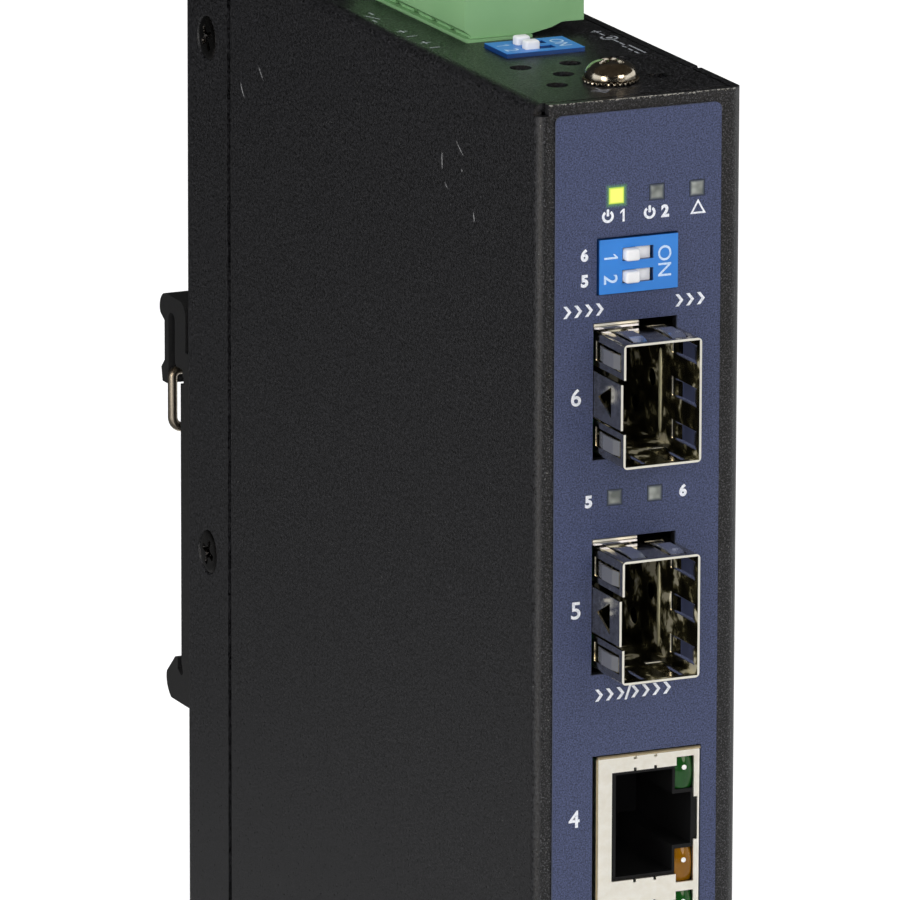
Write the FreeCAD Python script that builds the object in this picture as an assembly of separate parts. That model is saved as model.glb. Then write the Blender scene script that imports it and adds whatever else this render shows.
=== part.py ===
import FreeCAD, Part
import math
import os
from FreeCAD import Vector

# Slim DIN-rail Ethernet switch: four RJ45 ports, two SFP cages, folded sheet-steel housing.
# Frame, in millimetres: the origin is the centre of the housing's bottom face. -Y is the front,
# +X is to the right seen from the front, +Z is up.

# ---------------------------------------------------------------- driving dimensions

# Folded housing
housing_width = 25.0
housing_depth = 100.0
housing_height = 144.3
sheet = 1.0
bend_outside = 1.2
bend_inside = 0.2
seam_gap = 0.3
left_seam_gap = 0.95
left_seam_from_back = 13.8
right_seam_from_front = 11.2
seam_corner = 0.5
strap_width = 20.0
strap_margin = 6.0

# Countersunk cover screws (M3) in the rear-left strip and the front-right strip
cover_screw_top_margin = 11.0
cover_screw_bottom_margin = 8.7
cover_screw_edge = 6.7
cover_head_radius = 2.75
cover_head_height = 1.25
m3_radius = 1.45
thread_clearance = 0.05
cover_screw_length = 3.2

# Front overlay
label_thickness = 0.3
label_left_inset = 2.08
label_right_inset = 2.75
label_end_inset = 1.35
label_corner = 0.8

# Indicator windows
indicator_width = 1.8
indicator_height = 1.8
indicator_left = -3.05
indicator_pitch = 4.93
upper_indicator_count = 3
lower_indicator_count = 2
lens_lip = 0.5
lens_lip_depth = 0.6
fit = 0.05

# Two-way DIP switches
dip_length = 9.6
dip_height = 6.2
dip_depth = 5.3
dip_way_pitch = 2.54
dip_slot_start = -2.0
dip_slot_length = 3.8
dip_slot_height = 1.5
dip_face_wall = 0.5
dip_nub_length = 1.75
dip_nub_rise = 0.95
dip_travel = 1.7
dip_clearance = 0.08
dip_base_height = 1.9
dip_base_length = 4.9
dip_base_depth = 2.0
front_dip_centre = -0.47
front_dip_rise = 0.7
top_dip_centre = -0.65
top_dip_from_front = 26.85
top_dip_rise = 0.5
dip_window_gap = 0.15

# SFP cages
cage_width = 14.2
cage_height = 9.5
cage_wall = 0.25
cage_protrusion = 7.6
cage_length = 48.8
cage_left = -5.4
cage_vent_radius = 1.0
cage_vents = ((12.4, -0.15), (16.9, -4.15))
cage_window_gap_x = 0.4
cage_window_gap_top = 0.9
cage_window_gap_foot = 0.6
hem_start = -5.7
hem_width = 5.45
hem_depth = 1.8
hem_lift = 0.18
hem_height = 0.6
hem_slit = 0.12
tongue_width = 5.2
tongue_slot = 0.5
tongue_offset = 0.35
tongue_length = 9.0
latch_hole_length = 3.4
latch_hole_width = 3.6
finger_length = 6.6
finger_behind_mouth = 0.8
finger_width = 2.2
finger_rise = 0.35
connector_width = 12.6
connector_height = 5.4
connector_depth = 8.5

# Four-port RJ45 jack
jack_ports = 4
jack_pitch = 15.7
jack_end_wall = 0.2
jack_left = -4.92
jack_width = 12.67
jack_depth = 21.0
jack_protrusion = 0.4
jack_wall = 0.3
jack_lip = 1.7
jack_lip_bend = 0.22
jack_side_gap = 0.66
jack_end_gap = 0.47
port_left = -3.19
port_width = 10.14
port_height = 12.7
plug_height = 11.9
plug_left = -2.55
plug_width = 7.0
plug_depth = 14.5
latch_height = 6.0
latch_notch = 0.45
latch_notch_height = 5.0
pipe_left = 4.8
pipe_width = 2.1
nick_places = (-0.32, 2.2)
nick_width = 0.35
nick_depth = 0.35
pipe_inner = 3.5
pipe_outer = 7.33
pipe_depth = 6.0
contact_pitch = 1.02
contact_width = 0.45
contact_count = 8

# Layout down the front, as shares of the height that the cages and the jack leave free
share_to_upper_indicators = 0.20683
share_to_front_dip = 0.35712
share_to_upper_cage = 0.49526
share_between_cages = 0.20019
share_above_jack = 0.19924
lower_indicator_place = 0.4787

# Circuit board, parallel to the left side
board_thickness = 1.6
lead_gap = 0.1
board_face = -5.5
board_front_gap = 1.5
board_back_gap = 5.0
board_bottom_gap = 3.0
board_top_gap = 13.0
standoff_radius = 2.75
standoff_inset = 8.0
standoff_behind_cage = 6.3
standoff_ahead_of_strap = 4.75
standoff_floor = 0.8
board_screw_gap = 0.5
board_head_radius = 2.7
board_head_height = 1.8

# Parts on the board
chip_size = 20.0
chip_height = 1.4
chip_above_jack_floor = 43.2
chip_ahead_of_capacitors = 28.0
sink_size = 18.0
sink_height = 8.0
sink_base = 1.6
fin_pitch = 2.6
fin_gap = 1.4
fin_slots = 6
capacitor_radius = 5.0
capacitor_height = 12.0
capacitor_pitch = 14.0
capacitor_count = 3
capacitor_from_back = 14.0
capacitor_from_top = 12.0
coil_size = 12.0
coil_height = 6.5
coil_from_top = 44.0
relay_length = 15.0
relay_height = 10.0
relay_width = 10.0
relay_from_top = 17.0
inner_gap = 3.0

# Pluggable terminal block
terminal_ways = 6
terminal_pitch = 5.08
terminal_from_front = 33.0
terminal_end_wall = 0.85
header_left = -6.1
header_width = 8.0
header_rise = 0.25
header_height = 11.2
header_wall = 0.8
header_floor = 2.4
plug_clearance = 0.25
plug_body_left = -6.35
plug_body_width = 14.8
plug_body_lift = 1.0
plug_body_height = 10.4
plug_step = 0.8
wire_entry_width = 3.6
wire_entry_depth = 7.5
clamp_screw_radius = 1.7
pin_size = 1.0

# Ground screw on the top
ground_x = 0.25
ground_from_front = 8.5
ground_flange_radius = 3.22
ground_flange_height = 0.55
ground_dome_radius = 2.95
ground_dome_height = 2.05
ground_recess_width = 3.2
ground_recess_depth = 1.4
m4_radius = 1.95
ground_screw_length = 6.0
ground_nut_radius = 4.0
ground_nut_height = 3.0

# Vents in the top and bottom
vent_radius = 1.25
vent_column = 6.1
vent_rows = (9.0, 13.85, 18.7)

# DIN-rail clip: an extrusion on the back, drawn for a 35 mm top-hat rail
rail_width = 35.0
rail_flange = 1.0
clip_width = 24.0
clip_top_drop = 44.85
clip_plate = 2.6
rail_seat_drop = 90.2
rail_catch = 0.6
hook_stand_off = 1.1
hook_outer = 7.48
hook_slot_inner = 4.3
hook_slot_outer = 6.25
hook_bulge = 8.94
foot_reach = 7.2
foot_height = 5.4
spring_wire = 1.15
spring_out = 5.4
spring_top_drop = 53.9
spring_foot_drop = 61.0
spring_reach = 11.85
spring_top_bend = 0.85
spring_foot_bend = 1.3
clip_screw_drops = (66.0, 82.0)
clip_head_radius = 2.8
clip_head_height = 1.35

# ---------------------------------------------------------------- derived places

left = -housing_width / 2
right = housing_width / 2
front = -housing_depth / 2
back = housing_depth / 2
top = housing_height
left_seam = back - left_seam_from_back
right_seam = front + right_seam_from_front
overlay_face = front - label_thickness
jack_height = jack_ports * jack_pitch + 2 * jack_end_wall
free_height = housing_height - jack_height - 2 * cage_width
upper_indicator_drop = share_to_upper_indicators * free_height
front_dip_drop = share_to_front_dip * free_height
upper_cage_top = share_to_upper_cage * free_height
cage_gap = share_between_cages * free_height
lower_indicator_drop = upper_cage_top + cage_width + lower_indicator_place * cage_gap
cage_centres = (top - upper_cage_top - 0.5 * cage_width, top - upper_cage_top - 1.5 * cage_width - cage_gap)
jack_top = top - upper_cage_top - 2 * cage_width - cage_gap - share_above_jack * free_height
jack_bottom = jack_top - jack_height
cage_back = front - cage_protrusion + cage_length
cover_screw_pitch = (housing_height - cover_screw_top_margin - cover_screw_bottom_margin) / 2
cover_screw_drops = tuple(cover_screw_top_margin + i * cover_screw_pitch for i in range(3))
strap_front = back - sheet - bend_inside - fit - strap_width
standoff_rows = (cage_back + standoff_behind_cage, strap_front - standoff_ahead_of_strap)
spacer_length = board_face - board_thickness - left - sheet
capacitor_y = back - capacitor_from_back
board_back = board_face - board_thickness
board_y = (front + board_front_gap, back - board_back_gap)
board_z = (board_bottom_gap, top - board_top_gap)


# ---------------------------------------------------------------- helpers

def block(x0, x1, y0, y1, z0, z1):
    """A box from its low and high corners."""
    return Part.makeBox(x1 - x0, y1 - y0, z1 - z0, Vector(x0, y0, z0))


def rod(radius, length, base, direction):
    """A cylinder that starts at base and runs along direction."""
    return Part.makeCylinder(radius, length, Vector(*base), Vector(*direction))


def cone(radius_0, radius_1, length, base, direction):
    """A truncated cone that starts at base with radius_0."""
    return Part.makeCone(radius_0, radius_1, length, Vector(*base), Vector(*direction))


def join(shapes):
    """Fuse a list of touching shapes and merge their coplanar faces."""
    result = shapes[0]
    if len(shapes) > 1:
        result = result.fuse(shapes[1:])
    return result.removeSplitter()


def outline(start, steps, place):
    """A closed face: each step is an end point, or a pair (through point, end point) for an arc."""
    edges = []
    here = place(*start)
    for step in list(steps) + [start]:
        if isinstance(step[0], tuple):
            through, end = place(*step[0]), place(*step[1])
            edges.append(Part.Arc(here, through, end).toShape())
        else:
            end = place(*step)
            if here.distanceToPoint(end) < 1e-6:
                continue
            edges.append(Part.LineSegment(here, end).toShape())
        here = end
    return Part.Face(Part.Wire(edges))


def along_x(start, steps, x0, x1):
    """An outline in (y, z), extruded from x0 to x1."""
    return outline(start, steps, lambda y, z: Vector(x0, y, z)).extrude(Vector(x1 - x0, 0, 0))


def along_y(start, steps, y0, y1):
    """An outline in (x, z), extruded from y0 to y1."""
    return outline(start, steps, lambda x, z: Vector(x, y0, z)).extrude(Vector(0, y1 - y0, 0))


def along_z(start, steps, z0, z1):
    """An outline in (x, y), extruded from z0 to z1."""
    return outline(start, steps, lambda x, y: Vector(x, y, z0)).extrude(Vector(0, 0, z1 - z0))


def round_edges(shape, radius, wanted):
    """Fillet the straight edges whose middle point satisfies wanted(point, direction)."""
    chosen = []
    for edge in shape.Edges:
        if len(edge.Vertexes) != 2:
            continue
        ends = (edge.Vertexes[0].Point, edge.Vertexes[1].Point)
        middle = (ends[0] + ends[1]) * 0.5
        direction = (ends[1] - ends[0]).normalize()
        if wanted(middle, direction):
            chosen.append(edge)
    return shape.makeFillet(radius, chosen)


def near(value, target):
    """Whether two lengths agree within a thousandth of a millimetre."""
    return abs(value - target) < 1e-3


def mirrored_in_height(shape):
    """The same shape, mirrored between the housing's top and bottom."""
    return shape.mirror(Vector(0, 0, top / 2), Vector(0, 0, 1))


def save(name, shapes):
    """Write one node, a single solid or a group of separate ones."""
    items = shapes if isinstance(shapes, list) else [shapes]
    solids = [solid for item in items for solid in item.Solids]
    shape = solids[0] if len(solids) == 1 else Part.makeCompound(solids)
    shape.exportStep(f"parts/{name}.step")
    print(f"{name}: {len(solids)} solid(s), {shape.Volume:.1f} mm3, valid {shape.isValid()}")


# ---------------------------------------------------------------- housing

def channel(outside_corners, inside_corners, start, steps):
    """A folded strip in plan, run over the whole height, with its vertical bends rounded."""
    strip = along_z(start, steps, 0, top)

    def at(corners):
        return lambda p, d: abs(d.z) > 0.99 and any(near(p.x, x) and near(p.y, y) for x, y in corners)

    strip = round_edges(strip, bend_outside, at(outside_corners))
    return round_edges(strip, bend_inside, at(inside_corners))


def indicator_places():
    """The centres (x, z) of the indicator windows, the upper row first."""
    places = [(indicator_left + i * indicator_pitch, top - upper_indicator_drop)
              for i in range(upper_indicator_count)]
    places += [(indicator_left + i * indicator_pitch, top - lower_indicator_drop)
               for i in range(lower_indicator_count)]
    return places


def front_windows(y0, y1):
    """The cutters for everything that shows through the front."""
    cutters = []
    for x, z in indicator_places():
        cutters.append(block(x - indicator_width / 2 - fit, x + indicator_width / 2 + fit, y0, y1,
                             z - indicator_height / 2 - fit, z + indicator_height / 2 + fit))
    half_length = dip_length / 2 + dip_window_gap
    half_height = dip_height / 2 + dip_window_gap
    z = top - front_dip_drop
    cutters.append(block(front_dip_centre - half_length, front_dip_centre + half_length, y0, y1,
                         z - half_height, z + half_height))
    for z in cage_centres:
        cutters.append(block(cage_left - cage_window_gap_x, cage_left + cage_height + cage_window_gap_x,
                             y0, y1, z - cage_width / 2 - cage_window_gap_foot,
                             z + cage_width / 2 + cage_window_gap_top))
    cutters.append(block(jack_left - jack_side_gap, jack_left + jack_width + fit * 2, y0, y1,
                         jack_bottom - jack_end_gap, jack_top + jack_end_gap))
    return cutters


def vent_cutters(z0, z1):
    """The staggered round vents; the middle of the first row is the ground screw's."""
    cutters = []
    for row, from_front in enumerate(vent_rows):
        columns = (-0.5, 0.5) if row % 2 else (-1, 0, 1)
        for column in columns:
            if row == 0 and column == 0:
                continue
            cutters.append(rod(vent_radius, z1 - z0, (column * vent_column, front + from_front, z0),
                               (0, 0, 1)))
    return cutters


def flange(z0):
    """The flat flange that closes the top, one sheet below the open height."""
    inner_right = right - sheet - seam_gap
    start = (left, front + sheet + seam_gap)
    steps = [(inner_right, front + sheet + seam_gap), (inner_right, back - sheet - seam_gap),
             (left + sheet + seam_gap, back - sheet - seam_gap), (left + sheet + seam_gap, left_seam),
             (left, left_seam)]
    return along_z(start, steps, z0, z0 + sheet)


def make_front_shell():
    """Front, left side, top, bottom and the narrow right-hand return, folded from one sheet."""
    start = (left, left_seam)
    steps = [(left, front), (right, front), (right, right_seam), (right - sheet, right_seam),
             (right - sheet, front + sheet), (left + sheet, front + sheet), (left + sheet, left_seam)]
    outside = ((left, front), (right, front))
    inside = ((left + sheet, front + sheet), (right - sheet, front + sheet))
    shell = channel(outside, inside, start, steps)
    lid = flange(top - sheet)
    lid = lid.cut(vent_cutters(top - 2 * sheet, top + sheet))
    lid = lid.cut(header_block(seam_gap, top - 2 * sheet, top + sheet))
    lid = lid.cut(top_dip_block(dip_window_gap, top - 2 * sheet, top + sheet))
    ground = (ground_x, front + ground_from_front, top - 2 * sheet)
    lid = lid.cut(rod(m4_radius + 0.25, 3 * sheet, ground, (0, 0, 1)))
    floor = flange(0)
    floor = floor.cut(vent_cutters(-sheet, 2 * sheet))
    shell = join([shell, lid, floor])
    relief = bend_outside + 0.1
    notch = block(left - 1, left + relief, front - 1, front + sheet + seam_gap, top - relief, top + 1)
    shell = shell.cut([notch, mirrored_in_height(notch)])
    shell = round_edges(shell, bend_outside, lambda p, d: abs(d.y) > 0.99 and near(p.x, left)
                        and (near(p.z, top) or near(p.z, 0)))
    shell = shell.cut(front_windows(front - 1, front + 2 * sheet))
    return shell.cut(right_screw_cutters() + seam_corners(right_seam, -1))


def make_rear_cover():
    """Right side, back and the narrow left-hand return, folded from one sheet."""
    start = (left, left_seam + left_seam_gap)
    steps = [(left, back), (right, back), (right, right_seam + seam_gap),
             (right - sheet, right_seam + seam_gap), (right - sheet, back - sheet),
             (left + sheet, back - sheet), (left + sheet, left_seam + left_seam_gap)]
    outside = ((left, back), (right, back))
    inside = ((left + sheet, back - sheet), (right - sheet, back - sheet))
    cover = channel(outside, inside, start, steps)
    cover = cover.cut(left_screw_cutters())
    bores = [rod(m3_radius + thread_clearance, 3 * sheet, (0, back - 2 * sheet, top - drop), (0, 1, 0))
             for drop in clip_screw_drops]
    return cover.cut(bores + seam_corners(right_seam + seam_gap, 1))


def seam_corners(edge, side):
    """The clipped corners of a sheet that ends at edge on the right, at the top and the bottom."""
    corner = along_x((edge + side * seam_corner, top + 0.1), [(edge - side * 0.1, top + 0.1),
                     (edge - side * 0.1, top - seam_corner)], right - sheet - seam_gap / 2, right + 1)
    return [corner, mirrored_in_height(corner)]


def left_screw_places():
    """Outer head centres on the left side."""
    return [(left, back - cover_screw_edge, top - drop) for drop in cover_screw_drops]


def right_screw_places():
    """Outer head centres on the right side."""
    return [(right, front + cover_screw_edge, top - drop) for drop in cover_screw_drops]


def countersunk(place, direction, head_radius, head_height, shank_radius, length):
    """A countersunk screw, or its cutter, with its head flush at place."""
    end = tuple(p + head_height * d for p, d in zip(place, direction))
    head = cone(head_radius, shank_radius, head_height, place, direction)
    return join([head, rod(shank_radius, length - head_height, end, direction)])


def cover_screw(place, direction, clearance):
    """One cover screw; a positive clearance gives the hole that it passes through."""
    return countersunk(place, direction, cover_head_radius + clearance, cover_head_height,
                       m3_radius + clearance, cover_screw_length)


def cross_recess(place, direction, width, depth):
    """The cutter for a cross recess in a screw head at place."""
    slots = []
    blade = width / 4
    for low, high in (((-width / 2, -blade / 2), (width / 2, blade / 2)),
                      ((-blade / 2, -width / 2), (blade / 2, width / 2))):
        slots.append(block(low[0], high[0], low[1], high[1], -0.5, depth))
    cross = join(slots)
    turn = FreeCAD.Rotation(Vector(0, 0, 1), Vector(*direction))
    cross.Placement = FreeCAD.Placement(Vector(*place), turn)
    return cross


def left_screw_cutters():
    """Countersinks and holes through the left-hand return of the cover."""
    return [cover_screw(place, (1, 0, 0), thread_clearance) for place in left_screw_places()]


def right_screw_cutters():
    """Countersinks and holes through the right-hand return of the shell."""
    return [cover_screw(place, (-1, 0, 0), thread_clearance) for place in right_screw_places()]


def make_left_strap():
    """The strap welded inside the left side, tapped for the rear-left screws."""
    strap = block(left + sheet, left + 2 * sheet, strap_front, strap_front + strap_width, strap_margin,
                  top - strap_margin)
    return strap.cut(left_screw_cutters())


def make_right_strap():
    """The strap welded inside the cover's right side, tapped for the front-right screws."""
    y0 = front + sheet + bend_inside + fit
    strap = block(right - 2 * sheet, right - sheet, y0, y0 + strap_width, strap_margin, top - strap_margin)
    return strap.cut(right_screw_cutters())


def make_cover_screws():
    """Six countersunk screws with cross recesses."""
    screws = []
    for places, direction in ((left_screw_places(), (1, 0, 0)), (right_screw_places(), (-1, 0, 0))):
        for place in places:
            screw = cover_screw(place, direction, 0)
            screws.append(screw.cut(cross_recess(place, direction, 3.0, 1.0)))
    return screws


def make_label():
    """The printed overlay, bonded to the front, open at every window."""
    x0, x1 = left + label_left_inset, right - label_right_inset
    z0, z1 = label_end_inset, top - label_end_inset
    plate = block(x0, x1, overlay_face, front, z0, z1)
    plate = round_edges(plate, label_corner, lambda p, d: abs(d.y) > 0.99)
    return plate.cut(front_windows(overlay_face - 1, front + 1))


def make_lens(x, z):
    """A light window: flush with the overlay, held by a lip behind the front."""
    half_x, half_z = indicator_width / 2, indicator_height / 2
    face = block(x - half_x, x + half_x, overlay_face, front + sheet, z - half_z, z + half_z)
    lip = block(x - half_x - lens_lip, x + half_x + lens_lip, front + sheet, front + sheet + lens_lip_depth,
                z - half_z - lens_lip, z + half_z + lens_lip)
    return join([face, lip])


def make_led_holder(count, z):
    """The black holder on the board that carries a row of indicator lamps behind their windows."""
    y0 = front + sheet + lens_lip_depth + fit
    x1 = indicator_left + (count - 1) * indicator_pitch + 2.2
    holder = block(board_face, x1, y0, y0 + 5.0, z - 2.2, z + 2.2)
    pockets = [rod(1.2, 3.5, (indicator_left + i * indicator_pitch, y0 - 0.5, z), (0, 1, 0))
               for i in range(count)]
    return holder.cut(pockets)


def make_leds():
    """Round-nosed lamps in the holders' pockets."""
    lamps = []
    y0 = front + sheet + lens_lip_depth + fit
    for x, z in indicator_places():
        body = rod(1.1, 2.4, (x, y0 + 0.6, z), (0, 1, 0))
        lamps.append(body)
    return lamps


# ---------------------------------------------------------------- DIP switches

def dip_body():
    """The blue body in its own frame: slots along u = X, ways along v = Y, the face at w = Z = 0."""
    body = block(-dip_length / 2, dip_length / 2, -dip_height / 2, dip_height / 2, -dip_depth, 0)
    cutters = []
    for v in dip_ways():
        half_slot = dip_slot_height / 2
        cutters.append(block(dip_slot_start, dip_slot_start + dip_slot_length, v - half_slot, v + half_slot,
                             -dip_face_wall - 0.5, 1))
        half_bay = dip_base_height / 2 + dip_clearance
        start = dip_base_start() - dip_clearance
        cutters.append(block(start, start + dip_base_length + dip_travel + 2 * dip_clearance,
                             v - half_bay, v + half_bay,
                             -dip_face_wall - dip_base_depth - 2 * dip_clearance, -dip_face_wall))
    return body.cut(cutters)


def dip_ways():
    """The two ways' places along v; the first is at the upper end."""
    return (dip_way_pitch / 2, -dip_way_pitch / 2)


def dip_base_start():
    """Where the slider's hidden base starts along u, so that it always fills the slot."""
    return dip_slot_start + dip_slot_length - 0.15 - dip_base_length


def dip_slider(v):
    """One white slider: a base behind the face and a raised nub in the slot, at its OFF end."""
    low = -dip_face_wall - dip_clearance
    half_base = dip_base_height / 2
    half_nub = dip_slot_height / 2 - dip_clearance
    base = block(dip_base_start(), dip_base_start() + dip_base_length, v - half_base, v + half_base,
                 low - dip_base_depth, low)
    nub_start = dip_slot_start + dip_clearance
    nub = block(nub_start, nub_start + dip_nub_length, v - half_nub, v + half_nub, low, dip_nub_rise)
    nub = round_edges(nub, 0.2, lambda p, d: near(p.z, dip_nub_rise))
    return join([base, nub])


def on_front(shape):
    """Place a DIP piece in the front: its face looks along -Y and its ways run downwards."""
    turn = FreeCAD.Rotation(Vector(1, 0, 0), 90)
    moved = shape.copy()
    moved.Placement = FreeCAD.Placement(Vector(front_dip_centre, front - front_dip_rise,
                                               top - front_dip_drop), turn)
    return moved


def on_top(shape):
    """Place a DIP piece in the top: its face looks up."""
    moved = shape.copy()
    moved.Placement = FreeCAD.Placement(Vector(top_dip_centre, front + top_dip_from_front,
                                               top + top_dip_rise), FreeCAD.Rotation())
    return moved


def top_dip_block(gap, z0, z1):
    """The block that the top DIP switch fills, grown by gap."""
    y = front + top_dip_from_front
    return block(top_dip_centre - dip_length / 2 - gap, top_dip_centre + dip_length / 2 + gap,
                 y - dip_height / 2 - gap, y + dip_height / 2 + gap, z0, z1)


def make_dip_pins():
    """Leads of both DIP switches, bent down into the board."""
    pins = []
    for i in (-1.5, -0.5, 0.5, 1.5):
        y = front - front_dip_rise + dip_depth
        z = top - front_dip_drop + i * dip_way_pitch * 0.66
        pins.append(block(board_face - board_thickness - 0.6, -3.2, y, y + 0.4, z - 0.25, z + 0.25))
        y = front + top_dip_from_front + i * dip_way_pitch * 0.66
        z = top + top_dip_rise - dip_depth
        drop = z - (board_z[1] - 3.0)
        riser = block(-3.6, -3.2, y - 0.25, y + 0.25, z - drop, z)
        foot = block(board_back - 0.6, -3.2, y - 0.25, y + 0.25, z - drop - 0.4, z - drop)
        pins.append(join([riser, foot]))
    return pins


# ---------------------------------------------------------------- SFP cages

def finger(place, across, outward):
    """A formed spring finger in its own frame: along u, bulging by finger_rise, then moved."""
    t = cage_wall
    rise = finger_rise
    start = (0, 0)
    steps = [(1.3, rise), (3.9, rise), (5.6, 0), (5.6, t), (3.9, rise + t), (1.3, rise + t), (0, t)]
    face = outline(start, steps, lambda u, w: Vector(u, 0, w))
    strip = face.extrude(Vector(0, finger_width - 0.5, 0))
    strip.translate(Vector(0, -(finger_width - 0.5) / 2, 0))
    axis_u, axis_v, axis_w = Vector(0, 1, 0), Vector(*across), Vector(*outward)
    matrix = FreeCAD.Matrix(axis_u.x, axis_v.x, axis_w.x, place[0],
                            axis_u.y, axis_v.y, axis_w.y, place[1],
                            axis_u.z, axis_v.z, axis_w.z, place[2], 0, 0, 0, 1)
    return strip.transformGeometry(matrix)


def finger_window(place, across):
    """The opening in the cage wall round one finger."""
    x, y, z = place
    half = finger_width / 2
    if across[0]:
        return block(x - half, x + half, y, y + finger_length, z - 2, z + 2)
    return block(x - 2, x + 2, y, y + finger_length, z - half, z + half)


def make_cage(z):
    """One SFP cage: a folded box, open in front, with ground fingers and the latch tongue."""
    y0 = front - cage_protrusion
    y1 = y0 + cage_length
    x0, x1 = cage_left, cage_left + cage_height
    z0, z1 = z - cage_width / 2, z + cage_width / 2
    t = cage_wall
    cage = block(x0, x1, y0, y1, z0, z1)
    cage = round_edges(cage, 0.5, lambda p, d: abs(d.y) > 0.99)
    cage = cage.cut(block(x0 + t, x1 - t, y0 - 1, y1 - t, z0 + t, z1 - t))
    # the connector stands through the rear of the wall that faces the board
    cage = cage.cut(block(x0 - 1, x0 + 1, y1 - connector_depth - 4, y1 - 2, z - 6.6, z + 6.6))
    cage = cage.cut([rod(cage_vent_radius, 2, (x1 - 1, y0 + depth, z + across), (1, 0, 0))
                     for depth, across in cage_vents])
    finger_start = y0 + finger_behind_mouth
    fingers = []
    for across_z in (-4.9, 0.0, 4.9):
        spots = [((x1 - t, finger_start, z + across_z), (0, 0, 1), (1, 0, 0))]
        if across_z:
            spots.append(((x0 + t, finger_start, z + across_z), (0, 0, -1), (-1, 0, 0)))
        fingers += spots
    for offset in (-2.4, 2.4):
        x = (x0 + x1) / 2 + offset
        fingers.append(((x, finger_start, z1 - t), (-1, 0, 0), (0, 0, 1)))
        fingers.append(((x, finger_start, z0 + t), (1, 0, 0), (0, 0, -1)))
    cage = cage.cut([finger_window(place, across) for place, across, _ in fingers])
    strips = []
    for place, across, outward in fingers:
        strips.append(finger(place, across, outward))
    cage = join([cage] + strips)
    # latch tongue: cut free of the wall, set outwards, with a triangular hole
    half = tongue_width / 2
    slot = block(x0 - 1, x0 + t + 0.01, y0 - 1, y0 + tongue_length, z - half - tongue_slot,
                 z + half + tongue_slot)
    cage = cage.cut(slot)
    start = (x0, y0 + tongue_length + 0.6)
    steps = [(x0, y0 + tongue_length), (x0 - tongue_offset, y0 + tongue_length - 1.2),
             (x0 - tongue_offset, y0),
             (x0 - tongue_offset + t, y0), (x0 - tongue_offset + t, y0 + tongue_length - 1.2),
             (x0 + t, y0 + tongue_length), (x0 + t, y0 + tongue_length + 0.6)]
    tongue = along_z(start, steps, z - half, z + half)
    nose = y0 + 2.6
    hole = along_x((nose, z - latch_hole_width / 2),
                   [(nose + latch_hole_length, z), (nose, z + latch_hole_width / 2)], x0 - 1, x0 + 1)
    return join([cage, tongue.cut(hole), ground_hem(z1)])


def ground_hem(cage_top):
    """The hemmed strip on a cage that bears on the window's upper edge, open towards the front."""
    x1 = hem_start + hem_width
    y0, y1 = overlay_face, overlay_face + hem_depth
    z0 = cage_top + hem_lift
    hem = block(hem_start, x1, y0, y1, z0, z0 + hem_height)
    middle = z0 + hem_height / 2
    slit = block(hem_start - 1, x1 + 1, y0 - 1, y1 - cage_wall, middle - hem_slit / 2, middle + hem_slit / 2)
    web = block(cage_left + 0.6, x1, y1 - cage_wall, y1, cage_top - 0.1, z0 + 0.1)
    return join([hem.cut(slit), web])


def make_sfp_connector(z):
    """The black edge connector that waits at the back of a cage."""
    y1 = front - cage_protrusion + cage_length - 2.3
    x0 = board_face
    body = block(x0, x0 + connector_height, y1 - connector_depth, y1, z - connector_width / 2,
                 z + connector_width / 2)
    slot_x = x0 + 3.0
    return body.cut(block(slot_x - 0.6, slot_x + 0.6, y1 - connector_depth - 1, y1 - 2.5, z - 5.2, z + 5.2))


# ---------------------------------------------------------------- RJ45 jack

def port_centres():
    """The ports' heights, the highest first."""
    return [jack_top - jack_end_wall - (i + 0.5) * jack_pitch for i in range(jack_ports)]


def port_opening(z, y0, y1):
    """The opening in the shield at one port, with the light-pipe corners and the latch notch."""
    x1 = port_left + port_width
    parts = [block(port_left, x1, y0, y1, z - port_height / 2, z + port_height / 2),
             block(pipe_left, x1, y0, y1, z - pipe_outer, z + pipe_outer),
             block(x1 - 0.1, x1 + latch_notch, y0, y1, z - latch_notch_height / 2,
                   z + latch_notch_height / 2)]
    return join(parts)


def make_jack_shield():
    """The tinned shield over all four ports, open at the board behind a short lip."""
    y0 = front - jack_protrusion
    y1 = y0 + jack_depth
    x1 = jack_left + jack_width
    t = jack_wall
    shield = block(jack_left, x1, y0, y1, jack_bottom, jack_top)
    shield = round_edges(shield, 0.3, lambda p, d: near(p.x, x1) and abs(d.x) < 0.01)
    shield = round_edges(shield, jack_lip_bend, lambda p, d: near(p.x, jack_left) and near(p.y, y0))
    shield = shield.cut(block(jack_left + t, x1 - t, y0 + t, y1 - t, jack_bottom + t, jack_top - t))
    # the side at the board is open behind a short lip
    shield = shield.cut(block(jack_left - 1, jack_left + t + 1, y0 + jack_lip, y1 + 1, jack_bottom + t,
                              jack_top - t))
    shield = shield.cut([port_opening(z, y0 - 1, y0 + t + 0.01) for z in port_centres()])
    return shield.cut(shield_nicks(y0 - 1, y0 + t + 0.01))


def shield_nicks(y0, y1):
    """The short cuts beside each port's ground tabs, and beside those at the shield's two ends."""
    edges = [jack_top, jack_bottom]
    for z in port_centres():
        edges += [z + port_height / 2, z - port_height / 2]
    return [block(x - nick_width / 2, x + nick_width / 2, y0, y1, z - nick_depth, z + nick_depth)
            for x in nick_places for z in edges]


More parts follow.
